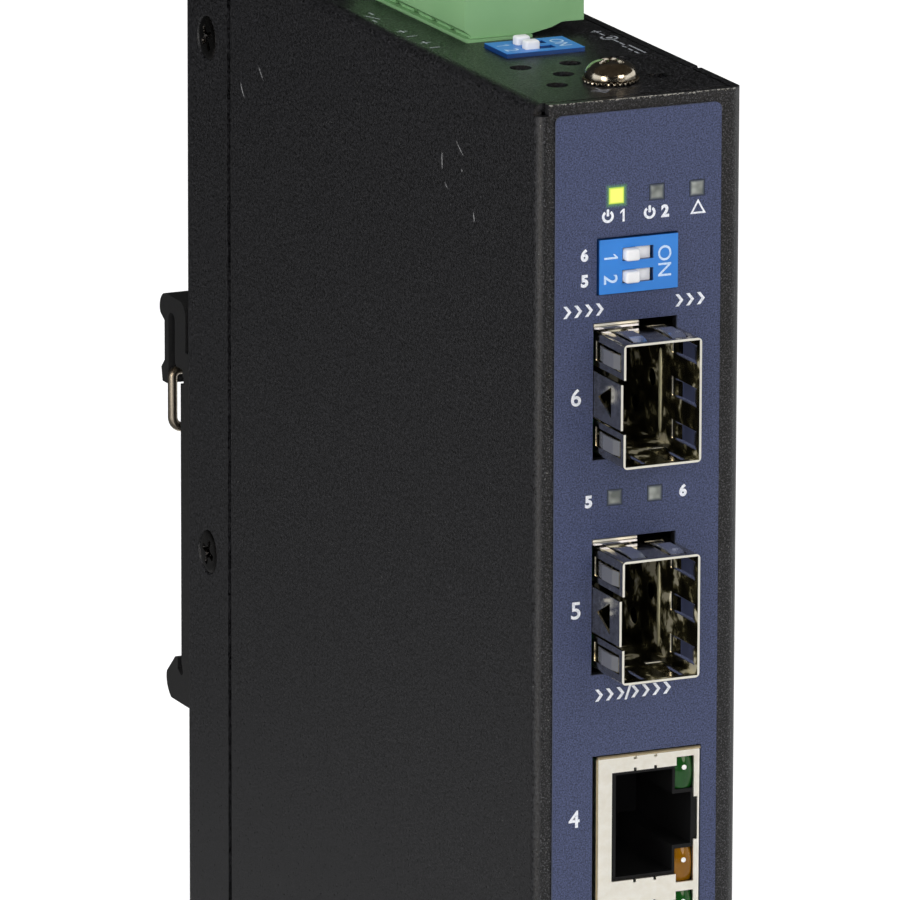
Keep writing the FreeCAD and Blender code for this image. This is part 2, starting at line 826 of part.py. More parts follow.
def make_jack_housing():
    """The black insert with the four plug cavities and the pockets for the light pipes."""
    t = jack_wall + fit
    y0 = front - jack_protrusion + t
    y1 = front - jack_protrusion + jack_depth - t
    x1 = jack_left + jack_width - t
    body = block(board_face + 0.02, x1, y0, y1, jack_bottom + t, jack_top - t)
    lip_end = front - jack_protrusion + jack_lip + fit
    cutters = [block(jack_left - 1, jack_left + t, y0 - 1, lip_end, jack_bottom, jack_top)]
    for z in port_centres():
        cutters.append(block(plug_left, plug_left + plug_width, y0 - 1, y0 + plug_depth,
                             z - plug_height / 2, z + plug_height / 2))
        latch_end = port_left + port_width - 0.2
        cutters.append(block(plug_left + 1, latch_end, y0 - 1, y0 + plug_depth,
                             z - latch_height / 2, z + latch_height / 2))
        for side in (-1, 1):
            z0, z1 = sorted((z + side * (pipe_inner - fit), z + side * (pipe_outer + fit)))
            cutters.append(block(pipe_left - fit, pipe_left + pipe_width + fit, y0 - 1, y0 + pipe_depth + fit,
                                 z0, z1))
    return body.cut(cutters)


def make_light_pipes(side):
    """One light pipe per port, in the upper (side 1) or the lower corner (side -1)."""
    pipes = []
    y0 = front - jack_protrusion + 0.1
    for z in port_centres():
        z0, z1 = sorted((z + side * pipe_inner, z + side * pipe_outer))
        pipe = block(pipe_left, pipe_left + pipe_width, y0, y0 + pipe_depth, z0, z1)
        pipes.append(round_edges(pipe, 0.4, lambda p, d: near(p.y, y0) and abs(d.x) > 0.99))
    return pipes


def make_contacts():
    """Eight sloping gold contacts in each port, on the side that faces the board."""
    contacts = []
    y0 = front - jack_protrusion + jack_wall + fit
    x0 = plug_left + fit
    deep = y0 + plug_depth - 0.2
    for z in port_centres():
        for i in range(contact_count):
            zc = z + (i - (contact_count - 1) / 2) * contact_pitch
            steps = [(x0 + 0.35, y0 + 3.2), (x0 + 2.5, deep - 0.4), (x0 + 2.5, deep), (x0 + 2.1, deep),
                     (x0, y0 + 3.55)]
            contacts.append(along_z((x0, y0 + 3.2), steps, zc - contact_width / 2, zc + contact_width / 2))
    return contacts


# ---------------------------------------------------------------- board and what it carries

def board_corners():
    """The places of the four standoffs."""
    zs = (board_z[0] + standoff_inset, board_z[1] - standoff_inset)
    return [(y, z) for y in standoff_rows for z in zs]


def make_board():
    """The circuit board, with its screw holes."""
    board = block(board_back, board_face, board_y[0], board_y[1], board_z[0], board_z[1])
    holes = [rod(m3_radius + 0.15, board_thickness + 2, (board_back - 1, y, z), (1, 0, 0))
             for y, z in board_corners()]
    return board.cut(holes + board_pin_holes())


def board_pin_holes():
    """Clear holes for the leads that pass through the board."""
    slice_through = block(board_back - 0.1, board_face + 0.1, *board_y, *board_z)
    cutters = []
    for lead in make_dip_pins() + make_header_pins():
        box = lead.common(slice_through).BoundBox
        cutters.append(block(board_back - 1, board_face + 1, box.YMin - lead_gap, box.YMax + lead_gap,
                             box.ZMin - lead_gap, box.ZMax + lead_gap))
    return cutters


def make_standoffs():
    """Four tapped spacers from the left side to the board."""
    spacers = []
    for y, z in board_corners():
        spacer = rod(standoff_radius, spacer_length, (left + sheet, y, z), (1, 0, 0))
        bore = rod(m3_radius + thread_clearance, spacer_length, (left + sheet + standoff_floor, y, z),
                   (1, 0, 0))
        spacers.append(spacer.cut(bore))
    return spacers


def make_board_screws():
    """Four pan-head screws that hold the board to its spacers."""
    screws = []
    reach = spacer_length - standoff_floor - board_screw_gap
    for y, z in board_corners():
        head = rod(board_head_radius, board_head_height, (board_face, y, z), (1, 0, 0))
        head = round_edges_round(head, 0.6, board_face + board_head_height)
        shank = rod(m3_radius, board_thickness + reach, (board_back - reach, y, z), (1, 0, 0))
        screw = join([head, shank])
        screws.append(screw.cut(cross_recess((board_face + board_head_height, y, z), (-1, 0, 0), 2.6, 0.9)))
    return screws


def round_edges_round(shape, radius, x):
    """Fillet the circular edges that lie in the plane at x."""
    edges = [e for e in shape.Edges if near(e.BoundBox.XMin, x) and near(e.BoundBox.XMax, x)]
    return shape.makeFillet(radius, edges)


def on_board(length, height, width, y, z):
    """A block of the given length (Y), height (X) and width (Z), centred at (y, z) on the board's face."""
    return block(board_face, board_face + height, y - length / 2, y + length / 2, z - width / 2,
                 z + width / 2)


def chip_place():
    """The controller's centre, behind the jack."""
    return capacitor_y - chip_ahead_of_capacitors, jack_bottom + chip_above_jack_floor


def make_switch_chip():
    """The main controller package, flat on the board."""
    return on_board(chip_size, chip_height, chip_size, *chip_place())


def make_heat_sink():
    """A finned aluminium block on the controller."""
    y, z = chip_place()
    sink = on_board(sink_size, sink_height, sink_size, y, z)
    slots = []
    for i in range(fin_slots):
        middle = y + (i - (fin_slots - 1) / 2) * fin_pitch
        slots.append(block(board_face + sink_base, board_face + sink_height + 1, middle - fin_gap / 2,
                           middle + fin_gap / 2, z - sink_size, z + sink_size))
    sink = sink.cut(slots)
    sink.translate(Vector(chip_height, 0, 0))
    return sink


def make_capacitors():
    """Electrolytic capacitors, standing on the board in a row."""
    caps = []
    for i in range(capacitor_count):
        z = board_z[1] - capacitor_from_top - i * capacitor_pitch
        can = rod(capacitor_radius, capacitor_height, (board_face, capacitor_y, z), (1, 0, 0))
        caps.append(round_edges_round(can, 0.6, board_face + capacitor_height))
    return caps


def ahead_of_capacitors(length):
    """The middle, along Y, of a part of that length just ahead of the capacitors."""
    return capacitor_y - capacitor_radius - inner_gap - length / 2


def make_power_coil():
    """The shielded coil of the supply."""
    coil = on_board(coil_size, coil_height, coil_size, ahead_of_capacitors(coil_size),
                    board_z[1] - coil_from_top)
    return round_edges(coil, 1.5, lambda p, d: abs(d.x) > 0.99)


def make_fault_relay():
    """The alarm relay near the terminal block."""
    y = ahead_of_capacitors(relay_length) - inner_gap
    return on_board(relay_length, relay_height, relay_width, y, board_z[1] - relay_from_top)


# ---------------------------------------------------------------- terminal block

def terminal_y():
    """Front and back of the header's inside, from the number of ways."""
    y0 = front + terminal_from_front
    return y0, y0 + terminal_ways * terminal_pitch + 2 * terminal_end_wall


def header_block(gap, z0, z1):
    """The block that the header fills, grown by gap."""
    y0, y1 = terminal_y()
    return block(header_left - gap, header_left + header_width + gap, y0 - gap, y1 + gap, z0, z1)


def way_centres():
    """The places of the ways along Y."""
    y0 = terminal_y()[0] + terminal_end_wall
    return [y0 + (i + 0.5) * terminal_pitch for i in range(terminal_ways)]


def make_header():
    """The open-topped trough on the board's edge, sealed in the top of the housing."""
    z1 = top + header_rise
    z0 = z1 - header_height
    body = header_block(0, z0, z1)
    y0, y1 = terminal_y()
    trough = block(header_left + header_wall, header_left + header_width - header_wall,
                   y0 + terminal_end_wall - 0.25, y1 - terminal_end_wall + 0.25, z0 + header_floor, z1 + 1)
    body = body.cut(trough)
    bores = [block(header_pin_x() - pin_size / 2 - fit, header_pin_x() + pin_size / 2 + fit,
                   y - pin_size / 2 - fit, y + pin_size / 2 + fit, z0 - 1, z0 + header_floor + 1)
             for y in way_centres()]
    return body.cut(bores)


def header_pin_x():
    """The pins stand in the middle of the trough."""
    return header_left + header_width / 2


def make_header_pins():
    """Square pins, up into the trough and bent over into the board."""
    pins = []
    half = pin_size / 2
    x = header_pin_x()
    z_foot = board_z[1] - 2.5
    z_top = top + header_rise - header_height + header_floor + 6.2
    for y in way_centres():
        riser = block(x - half, x + half, y - half, y + half, z_foot, z_top)
        foot = block(board_back - 1.0, x + half, y - half, y + half, z_foot, z_foot + pin_size)
        pins.append(join([riser, foot]))
    return pins


def make_plug():
    """The pluggable half: a narrow nose in the header and a wider clamp body above it."""
    y0, y1 = terminal_y()
    rim = top + header_rise
    nose_x0 = header_left + header_wall + plug_clearance
    nose_x1 = header_left + header_width - header_wall - plug_clearance
    nose_y0, nose_y1 = y0 + terminal_end_wall, y1 - terminal_end_wall
    nose_z0 = rim - header_height + header_floor + plug_clearance
    body_x0, body_x1 = plug_body_left, plug_body_left + plug_body_width
    body_z0 = rim + plug_body_lift
    body_z1 = body_z0 + plug_body_height
    nose = block(nose_x0, nose_x1, nose_y0, nose_y1, nose_z0, body_z0)
    collar_x0 = body_x0 + plug_step
    start = (collar_x0, rim + 0.05)
    steps = [(header_left + header_width, rim + 0.05), (header_left + header_width + 2.6, rim + 0.6),
             (header_left + header_width + 3.8, rim + 1.1), (body_x1, rim + 1.1), (body_x1, body_z1 - 1.2),
             (body_x1 - 1.2, body_z1), (body_x0, body_z1), (body_x0, body_z0), (collar_x0, rim + 0.35)]
    body = along_y(start, steps, nose_y0 - 0.5, nose_y1 + 0.5)
    plug = join([nose, body])
    cutters = []
    for y in way_centres():
        half = wire_entry_width / 2
        x = header_pin_x()
        cutters.append(block(x - half, x + half, y - half, y + half, body_z1 - wire_entry_depth, body_z1 + 1))
        cutters.append(rod(clamp_screw_radius + 0.15, body_x1 - x, (x + half, y, body_z1 - 4.6), (1, 0, 0)))
        bore = pin_size / 2 + 0.3
        cutters.append(block(x - bore, x + bore, y - bore, y + bore, nose_z0 - 1,
                             body_z1 - wire_entry_depth - 0.8))
        cutters.append(block(body_x0 - 1, body_x0 + 1.3, y + 1.2, y + 2.7, rim - 1, rim + 0.8))
    return plug.cut(cutters)


def make_clamp_screws():
    """Slotted clamp screws, reached from the +X side of the plug."""
    screws = []
    body_x1 = plug_body_left + plug_body_width
    z = top + header_rise + plug_body_lift + plug_body_height - 4.6
    x0 = header_pin_x() + wire_entry_width / 2 + 0.3
    length = body_x1 - 1.0 - x0
    for y in way_centres():
        screw = rod(clamp_screw_radius, length, (x0, y, z), (1, 0, 0))
        screw = screw.cut(block(x0 + length - 0.8, x0 + length + 1, y - 0.3, y + 0.3, z - 3, z + 3))
        screws.append(screw)
    return screws


def make_wire_clamps():
    """The metal cage that grips the wire in each way."""
    clamps = []
    z1 = top + header_rise + plug_body_lift + plug_body_height - 2.4
    half = wire_entry_width / 2 - 0.1
    x = header_pin_x()
    for y in way_centres():
        cage = block(x - half, x + half, y - half, y + half, z1 - 5.0, z1)
        clamps.append(cage.cut(block(x - half + 0.5, x + half - 0.5, y - half + 0.5, y + half - 0.5,
                                     z1 - 6.0, z1 + 1)))
    return clamps


# ---------------------------------------------------------------- ground screw

def make_ground_screw():
    """A domed cross-recess screw with its washer flange, tapped into the nut below."""
    y = front + ground_from_front
    base = Vector(ground_x, y, top)
    r, h = ground_dome_radius, ground_dome_height
    f, e = ground_flange_radius, ground_flange_height
    rise = h + e
    start = (0, -ground_screw_length)
    steps = [(m4_radius, -ground_screw_length), (m4_radius, 0), (f, 0), (f, e * 0.5), (f - 0.2, e), (r, e),
             ((r * 0.86, e + h * 0.66), (r * 0.45, rise - 0.12)), (0, rise)]
    face = outline(start, steps, lambda u, w: Vector(base.x + u, y, top + w))
    screw = face.revolve(base, Vector(0, 0, 1), 360)
    return screw.cut(cross_recess((ground_x, y, top + rise), (0, 0, -1), ground_recess_width,
                                  ground_recess_depth))


def make_ground_nut():
    """The clinch nut under the top, which takes the ground screw."""
    base = (ground_x, front + ground_from_front, top - sheet - ground_nut_height)
    nut = rod(ground_nut_radius, ground_nut_height, base, (0, 0, 1))
    return nut.cut(rod(m4_radius + thread_clearance, 20, (base[0], base[1], base[2] - 5), (0, 0, 1)))


# ---------------------------------------------------------------- DIN-rail clip

def clip_point(out, drop):
    """A point of the clip's section, from its distance behind the back and below the top."""
    return back + out, top - drop


def make_din_clip():
    """The clip: one extruded section with a slotted upper hook, a backing plate and a lower hook."""
    def p(out, drop):
        return clip_point(out, drop)

    crown = clip_top_drop
    mouth = rail_seat_drop - rail_width + rail_catch
    tip = rail_seat_drop - 2 * rail_catch
    ground = tip + foot_height
    slot_middle = (hook_slot_inner + hook_slot_outer) / 2
    slot_half = (hook_slot_outer - hook_slot_inner) / 2
    inner_lip = clip_plate + rail_flange + 0.15
    start = p(0, crown + 6.0)
    steps = [
        p(hook_stand_off, crown + 6.0), p(hook_stand_off, crown + 1.8),
        (p(hook_stand_off + 0.53, crown + 0.53), p(hook_stand_off + 1.8, crown)),
        p(hook_bulge - 1.95, crown),
        (p(hook_bulge - 0.57, crown + 0.57), p(hook_bulge, crown + 1.95)),
        (p(hook_bulge - 0.2, crown + 2.6), p(hook_bulge - 0.7, crown + 2.95)),
        p(hook_outer, crown + 3.4), p(hook_outer, mouth - 2.7),
        p(hook_outer + 1.0, mouth - 1.7), p(hook_outer + 0.65, mouth), p(hook_slot_outer + 0.4, mouth),
        p(hook_slot_outer, mouth - 1.2), p(hook_slot_outer, crown + 2.0 + slot_half),
        (p(slot_middle, crown + 2.0), p(hook_slot_inner, crown + 2.0 + slot_half)),
        p(hook_slot_inner, mouth - 3.1), p(hook_slot_inner - 0.4, mouth - 2.7),
        p(clip_plate - 0.6, mouth - 2.7), p(clip_plate - 0.6, mouth - 1.8), p(clip_plate - 0.9, mouth - 1.8),
        p(clip_plate - 0.9, mouth - 0.9), p(clip_plate, mouth - 0.9),
        p(clip_plate, tip), p(clip_plate - 0.45, tip + 1.4),
        (p(clip_plate - 0.1, tip + 1.85), p(clip_plate + 0.4, tip + 1.75)),
        p(inner_lip, tip + 1.3), p(inner_lip, tip), p(inner_lip + 0.75, tip),
        p(foot_reach - 0.1, tip + 2.4),
        (p(foot_reach, tip + 3.3), p(foot_reach - 0.45, tip + 4.45)),
        (p(foot_reach - 0.85, tip + 4.95), p(foot_reach - 1.4, ground)),
        p(0.4, ground), p(0, ground - 0.4),
    ]
    clip = along_x(start, steps, -clip_width / 2, clip_width / 2)
    return clip.cut([clip_screw_shape(drop, thread_clearance) for drop in clip_screw_drops])


def clip_screw_shape(drop, clearance):
    """One countersunk clip screw, or its hole, with its head flush in the plate."""
    place = (0, back + clip_plate, top - drop)
    length = clip_plate + sheet + 3.0
    return countersunk(place, (0, -1, 0), clip_head_radius + clearance, clip_head_height,
                       m3_radius + clearance, length)


def make_clip_screws():
    """The screws that hold the clip to the back."""
    screws = []
    for drop in clip_screw_drops:
        screw = clip_screw_shape(drop, 0)
        screws.append(screw.cut(cross_recess((0, back + clip_plate, top - drop), (0, -1, 0), 3.2, 1.2)))
    return screws


def make_clip_nuts():
    """Clinch nuts inside the back, which take the clip screws."""
    nuts = []
    for drop in clip_screw_drops:
        nut = rod(3.1, 2.4, (0, back - sheet, top - drop), (0, -1, 0))
        nuts.append(nut.cut(rod(m3_radius + thread_clearance, 10, (0, back, top - drop), (0, -1, 0))))
    return nuts


def make_rail_spring():
    """A closed loop of round wire; its top bar slides in the hook's slot, its foot meets the rail."""
    y = back + spring_out
    z_top, z_foot = top - spring_top_drop, top - spring_foot_drop
    points = [(0, y, z_top), (spring_reach, y, z_top), (spring_reach, y, z_foot), (0, y, z_foot)]
    half = tube(points, spring_wire / 2, (spring_top_bend, spring_foot_bend))
    other = half.mirror(Vector(0, 0, 0), Vector(1, 0, 0))
    return join([half, other])


def tube(points, radius, bends):
    """A round wire along straight runs, joined at each corner by an arc of that corner's bend."""
    nodes = [Vector(*p) for p in points]
    edges = []
    here = nodes[0]
    for before, corner, after, bend in zip(nodes, nodes[1:], nodes[2:], bends):
        into = (corner - before).normalize()
        out = (after - corner).normalize()
        half_turn = into.getAngle(out) / 2
        cut = bend * math.tan(half_turn)
        enter, leave = corner - into * cut, corner + out * cut
        inward = (out - into).normalize()
        middle = corner + inward * (bend / math.cos(half_turn) - bend)
        edges.append(Part.LineSegment(here, enter).toShape())
        edges.append(Part.Arc(enter, middle, leave).toShape())
        here = leave
    edges.append(Part.LineSegment(here, nodes[-1]).toShape())
    path = Part.Wire(edges)
    start = (nodes[1] - nodes[0]).normalize()
    section = Part.Wire([Part.makeCircle(radius, nodes[0], start)])
    return path.makePipeShell([section], True, True)


# ---------------------------------------------------------------- build

def build():
    """Write every node."""
    save("front_shell", make_front_shell())
    save("rear_cover", make_rear_cover())
    save("left_strap", make_left_strap())
    save("right_strap", make_right_strap())
    save("cover_screws", make_cover_screws())
    save("front_label", make_label())

    places = indicator_places()
    save("power_lens", make_lens(*places[0]))
    save("status_lenses", [make_lens(*place) for place in places[1:]])
    save("upper_led_holder", make_led_holder(upper_indicator_count, top - upper_indicator_drop))
    save("lower_led_holder", make_led_holder(lower_indicator_count, top - lower_indicator_drop))
    save("indicator_leds", make_leds())

    first, second = dip_ways()
    save("front_dip_body", on_front(dip_body()))
    save("front_dip_slider_1", on_front(dip_slider(first)))
    save("front_dip_slider_2", on_front(dip_slider(second)))
    save("top_dip_body", on_top(dip_body()))
    save("top_dip_slider_1", on_top(dip_slider(first)))
    save("top_dip_slider_2", on_top(dip_slider(second)))
    save("dip_pins", make_dip_pins())

    for name, z in zip(("upper", "lower"), cage_centres):
        save(f"{name}_sfp_cage", make_cage(z))
        save(f"{name}_sfp_connector", make_sfp_connector(z))

    save("jack_shield", make_jack_shield())
    save("jack_housing", make_jack_housing())
    save("jack_contacts", make_contacts())
    save("green_light_pipes", make_light_pipes(1))
    save("amber_light_pipes", make_light_pipes(-1))

    save("main_board", make_board())
    save("board_standoffs", make_standoffs())
    save("board_screws", make_board_screws())
    save("switch_chip", make_switch_chip())
    save("heat_sink", make_heat_sink())
    save("capacitors", make_capacitors())
    save("power_coil", make_power_coil())
    save("fault_relay", make_fault_relay())

    save("terminal_header", make_header())
    save("header_pins", make_header_pins())
    save("terminal_plug", make_plug())
    save("clamp_screws", make_clamp_screws())
    save("wire_clamps", make_wire_clamps())

    save("ground_screw", make_ground_screw())
    save("ground_nut", make_ground_nut())

    save("din_clip", make_din_clip())
    save("clip_screws", make_clip_screws())
    save("clip_nuts", make_clip_nuts())
    save("rail_spring", make_rail_spring())


os.makedirs("parts", exist_ok=True)
build()
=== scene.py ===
"""Looks of a slim rail-mounted Ethernet switch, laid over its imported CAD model."""

import logging
import math
from abc import ABC, abstractmethod
from dataclasses import dataclass, field
from enum import Enum

import bmesh
import bpy
import numpy as np
from mathutils import Matrix, Vector


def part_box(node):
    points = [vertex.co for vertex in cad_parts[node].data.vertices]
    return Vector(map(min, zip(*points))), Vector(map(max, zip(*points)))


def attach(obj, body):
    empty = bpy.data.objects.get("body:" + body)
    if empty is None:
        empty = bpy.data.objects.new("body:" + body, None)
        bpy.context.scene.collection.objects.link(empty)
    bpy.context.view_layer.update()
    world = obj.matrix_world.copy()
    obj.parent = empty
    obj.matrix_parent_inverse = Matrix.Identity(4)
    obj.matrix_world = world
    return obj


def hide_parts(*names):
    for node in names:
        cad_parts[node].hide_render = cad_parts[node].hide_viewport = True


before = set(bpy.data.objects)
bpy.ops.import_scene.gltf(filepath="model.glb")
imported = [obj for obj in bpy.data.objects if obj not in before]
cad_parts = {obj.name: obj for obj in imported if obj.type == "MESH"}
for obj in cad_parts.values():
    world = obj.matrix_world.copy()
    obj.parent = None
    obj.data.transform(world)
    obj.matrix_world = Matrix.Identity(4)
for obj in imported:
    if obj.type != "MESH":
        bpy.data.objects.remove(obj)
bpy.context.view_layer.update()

Tree = bpy.types.NodeTree
Node = bpy.types.Node
Socket = bpy.types.NodeSocket

LOG = logging.getLogger("switch_looks")
MM = 0.001
HOUSING = "housing"
WHITE = "#ffffff"
# How far print stands off what it is printed on, and how far a slider's base lies behind the body's face.
INK_RISE_MM = 0.012
SLIDER_BASE_MM = -0.58
# Radius of the shanks of the cover and clip screws.
M3_RADIUS_MM = 1.45


class Way(Enum):
    """The two ways of a DIP switch, with the number printed beside each."""

    FIRST = "1"
    SECOND = "2"


# ---------------------------------------------------------------- numbers and nodes


def linear(hex_colour: str) -> tuple[float, float, float, float]:
    """Turn an sRGB hex colour into linear RGBA.

    Args:
        hex_colour: A colour such as "#4a516d".

    Returns:
        Red, green, blue and an alpha of 1.
    """
    srgb = np.array([int(hex_colour[i:i + 2], 16) for i in (1, 3, 5)]) / 255.0
    value = np.where(srgb <= 0.04045, srgb / 12.92, ((srgb + 0.055) / 1.055) ** 2.4)
    return (*value.tolist(), 1.0)


def fill(tree: Tree, node: Node, inputs: dict) -> None:
    """Set a node's inputs, or link them to what feeds them.

    Args:
        tree: The node tree.
        node: The node.
        inputs: Input name or index to a value, an output socket, or a node, which feeds it by its first
            output in use.
    """
    for key, value in inputs.items():
        if isinstance(value, Node):
            value = next(output for output in value.outputs if output.enabled)
        if isinstance(value, Socket):
            tree.links.new(value, node.inputs[key])
        else:
            node.inputs[key].default_value = value


def add_node(tree: Tree, kind: str, inputs: dict | None = None, **settings) -> Node:
    """Add one shader node, set its properties, and fill its inputs.

    Args:
        tree: The node tree.
        kind: The node's type name after its "ShaderNode".
        inputs: What its inputs hold, as fill() takes them.
        **settings: Properties of the node.

    Returns:
        The new node.
    """
    node = tree.nodes.new("ShaderNode" + kind)
    for name, value in settings.items():
        setattr(node, name, value)
    fill(tree, node, inputs or {})
    return node


def fed(node: Node, name: str) -> Socket:
    """The socket that feeds one of a node's inputs."""
    return node.inputs[name].links[0].from_socket


def tinted(tree: Tree, source: Node, low: str, high: str, span: tuple[float, float] = (0.0, 1.0)) -> Node:
    """A colour that goes from one to another as a source crosses a span.

    Args:
        tree: The node tree.
        source: The node that gives the number.
        low: The colour at and below the span.
        high: The colour at and above it.
        span: Where the change starts and ends.

    Returns:
        The node that gives the colour.
    """
    share = add_node(tree, "MapRange", {"Value": source, "From Min": span[0], "From Max": span[1]})
    return add_node(tree, "Mix", {"Factor": share, "A": linear(low), "B": linear(high)}, data_type="RGBA")


def square_distance(tree: Tree, place: Socket, centre_mm: tuple[float, float]) -> Node:
    """The larger of a point's distances from a middle in X and in Z.

    Args:
        tree: The node tree.
        place: Object coordinates, in metres.
        centre_mm: X and Z of the middle.

    Returns:
        The node that gives the distance, in metres.
    """
    shift = (-centre_mm[0] * MM, 0.0, -centre_mm[1] * MM)
    local = add_node(tree, "VectorMath", {0: place, 1: shift}, operation="ADD")
    size = add_node(tree, "VectorMath", {0: local}, operation="ABSOLUTE")
    parts = add_node(tree, "SeparateXYZ", {"Vector": size})
    return add_node(tree, "Math", {0: parts.outputs["X"], 1: parts.outputs["Z"]}, operation="MAXIMUM")


def per_metre(size_mm: float) -> float:
    """Texture scale for a grain of the given size on Object coordinates."""
    return 1000.0 / size_mm


# ---------------------------------------------------------------- finishes


@dataclass(frozen=True)
class Finish(ABC):
    """A named finish: what the piece is made of and how its surface was made."""

    name: str
    slot: str

    def material(self) -> bpy.types.Material:
        """Build the material once.

        Returns:
            The material of this finish.
        """
        made = bpy.data.materials.get(self.name)
        if made is not None:
            return made
        made = bpy.data.materials.new(self.name)
        made.use_nodes = True
        tree = made.node_tree
        tree.nodes.clear()
        shader = add_node(tree, "BsdfPrincipled")
        place = add_node(tree, "TexCoord").outputs["Object"]
        self.shade(tree, shader, place)
        add_node(tree, "OutputMaterial", {"Surface": shader})
        return made

    @abstractmethod
    def shade(self, tree: Tree, shader: Node, place: Socket) -> None:
        """Fill the shader's inputs.

        Args:
            tree: The material's node tree.
            shader: Its Principled shader.
            place: Object coordinates, in metres.
        """


@dataclass(frozen=True)
class PowderCoat(Finish):
    """Polyester powder coat on steel: a fine sandy texture that breaks up reflections."""

    dark: str = "#020203"
    light: str = "#39393c"
    # Grit of about 0.3 mm with a slower orange-peel wave of 1.6 mm under it.
    grit_mm: float = 0.33
    grit_depth_mm: float = 0.05
    peel_mm: float = 1.6
    peel_depth_mm: float = 0.014
    spread: tuple[float, float] = (0.4, 0.72)
    roughness: tuple[float, float] = (0.24, 0.5)
    level: float = 0.4

    def shade(self, tree: Tree, shader: Node, place: Socket) -> None:
        """Mottle the black by grit, and dent the surface by grit and orange peel."""
        grit = add_node(tree, "TexNoise",
                        {"Vector": place, "Scale": per_metre(self.grit_mm), "Detail": 4.0,
                         "Roughness": 0.8})
        peel = add_node(tree, "TexNoise",
                        {"Vector": place, "Scale": per_metre(self.peel_mm), "Detail": 1.0})
        gloss = add_node(tree, "MapRange",
                         {"Value": grit, "From Min": 0.3, "From Max": 0.7, "To Min": self.roughness[0],
                          "To Max": self.roughness[1]})
        wave = add_node(tree, "Bump",
                        {"Height": peel, "Distance": self.peel_depth_mm * MM, "Strength": 0.8})
        sand = add_node(tree, "Bump",
                        {"Height": grit, "Distance": self.grit_depth_mm * MM, "Strength": 0.8,
                         "Normal": wave})
        fill(tree, shader,
             {"Base Color": tinted(tree, grit, self.dark, self.light, self.spread), "Roughness": gloss,
              "Normal": sand, "Specular IOR Level": self.level, "IOR": 1.5})


@dataclass(frozen=True)
class EdgedPowderCoat(PowderCoat):
    """The same coat: painted sparkle on the grit of front and top, a rolled right edge, bare specks on the
    top bend.
    """

    edge_top_mm: float = 0.0
    edge_front_mm: float = 0.0
    edge_right_mm: float = 0.0
    # A point within this distance of the front or the top belongs to it.
    face_mm: float = 0.1
    # Painted sparkle: only on the front and top, the faces towards the lamps, the grit is painted dark
    # between and pale on its peaks.
    sparkle_mm: float = 0.19
    sparkle_dark: str = "#020203"
    sparkle_light: str = "#57575b"
    # Bare steel shows in specks, fewer with distance from the edge line.
    bare: str = "#a9a8a2"
    bare_metallic: float = 0.7
    speck_mm: float = 0.3
    # The front rolls back over this width, as if it were a cylinder of this radius.
    roll_width_mm: float = 1.6
    roll_radius_mm: float = 3.2

    def shade(self, tree: Tree, shader: Node, place: Socket) -> None:
        """Coat first; then painted sparkle on front and top, bright specks close to the edge line, and the
        roll.

        The distance to the edge is worked out in the plane across it; noise eats into that band.
        """
        super().shade(tree, shader, place)
        x, y, z = add_node(tree, "SeparateXYZ", {"Vector": place}).outputs
        rise = add_node(tree, "Math", {0: z, 1: self.edge_top_mm * MM}, operation="SUBTRACT")
        reach = add_node(tree, "Math", {0: y, 1: self.edge_front_mm * MM}, operation="SUBTRACT")
        on_top = add_node(tree, "Math", {0: rise, 1: -self.face_mm * MM}, operation="GREATER_THAN")
        on_front = add_node(tree, "Math", {0: reach, 1: self.face_mm * MM}, operation="LESS_THAN")
        facing = add_node(tree, "Math", {0: on_top, 1: on_front}, operation="MAXIMUM")
        grit = add_node(tree, "TexNoise",
                        {"Vector": place, "Scale": per_metre(self.sparkle_mm), "Detail": 2.0,
                         "Roughness": 0.7})
        # Painted sparkle: pale grit colour painted on the front and top faces only.
        sparkle = tinted(tree, grit, self.sparkle_dark, self.sparkle_light, (0.5, 0.74))
        coat = add_node(tree, "Mix", {"Factor": facing, "A": fed(shader, "Base Color"), "B": sparkle},
                        data_type="RGBA")
        across = add_node(tree, "CombineXYZ", {"X": rise, "Y": reach})
        apart = add_node(tree, "VectorMath", {0: across}, operation="LENGTH")
        specks = add_node(tree, "TexNoise",
                          {"Vector": place, "Scale": per_metre(self.speck_mm), "Detail": 3.0,
                           "Roughness": 0.75})
        band = add_node(tree, "MapRange",
                        {"Value": apart, "From Min": 0.04 * MM, "From Max": 0.3 * MM, "To Min": 0.53,
                         "To Max": 0.28})
        worn = add_node(tree, "Math", {0: specks, 1: band}, operation="LESS_THAN")
        tone = add_node(tree, "Mix", {"Factor": worn, "A": coat, "B": linear(self.bare)}, data_type="RGBA")
        metallic = add_node(tree, "Math", {0: worn, 1: self.bare_metallic}, operation="MULTIPLY")
        fill(tree, shader,
             {"Base Color": tone, "Metallic": metallic,
              "Normal": self.roll(tree, x, on_front, fed(shader, "Normal"))})

    def roll(self, tree: Tree, x: Socket, on_front: Node, normal: Socket) -> Node:
        """Bend the front back near its right edge: at d past the start, by d squared over twice the radius.

        Args:
            tree: The material's node tree.
            x: Object X, in metres.
            on_front: One on the front, nothing elsewhere.
            normal: The coat's own normal.

        Returns:
            The node that gives the bent normal.
        """
        start = (self.edge_right_mm - self.roll_width_mm) * MM
        past = add_node(tree, "Math", {0: x, 1: start}, operation="SUBTRACT")
        depth = add_node(tree, "Math", {0: past, 1: 0.0}, operation="MAXIMUM")
        square = add_node(tree, "Math", {0: depth, 1: depth}, operation="MULTIPLY")
        fall = add_node(tree, "Math", {0: square, 1: -0.5 / (self.roll_radius_mm * MM)},
                        operation="MULTIPLY")
        rolled = add_node(tree, "Math", {0: fall, 1: on_front}, operation="MULTIPLY")
        return add_node(tree, "Bump",
                        {"Height": rolled, "Distance": 1.0, "Strength": 1.0, "Normal": normal})


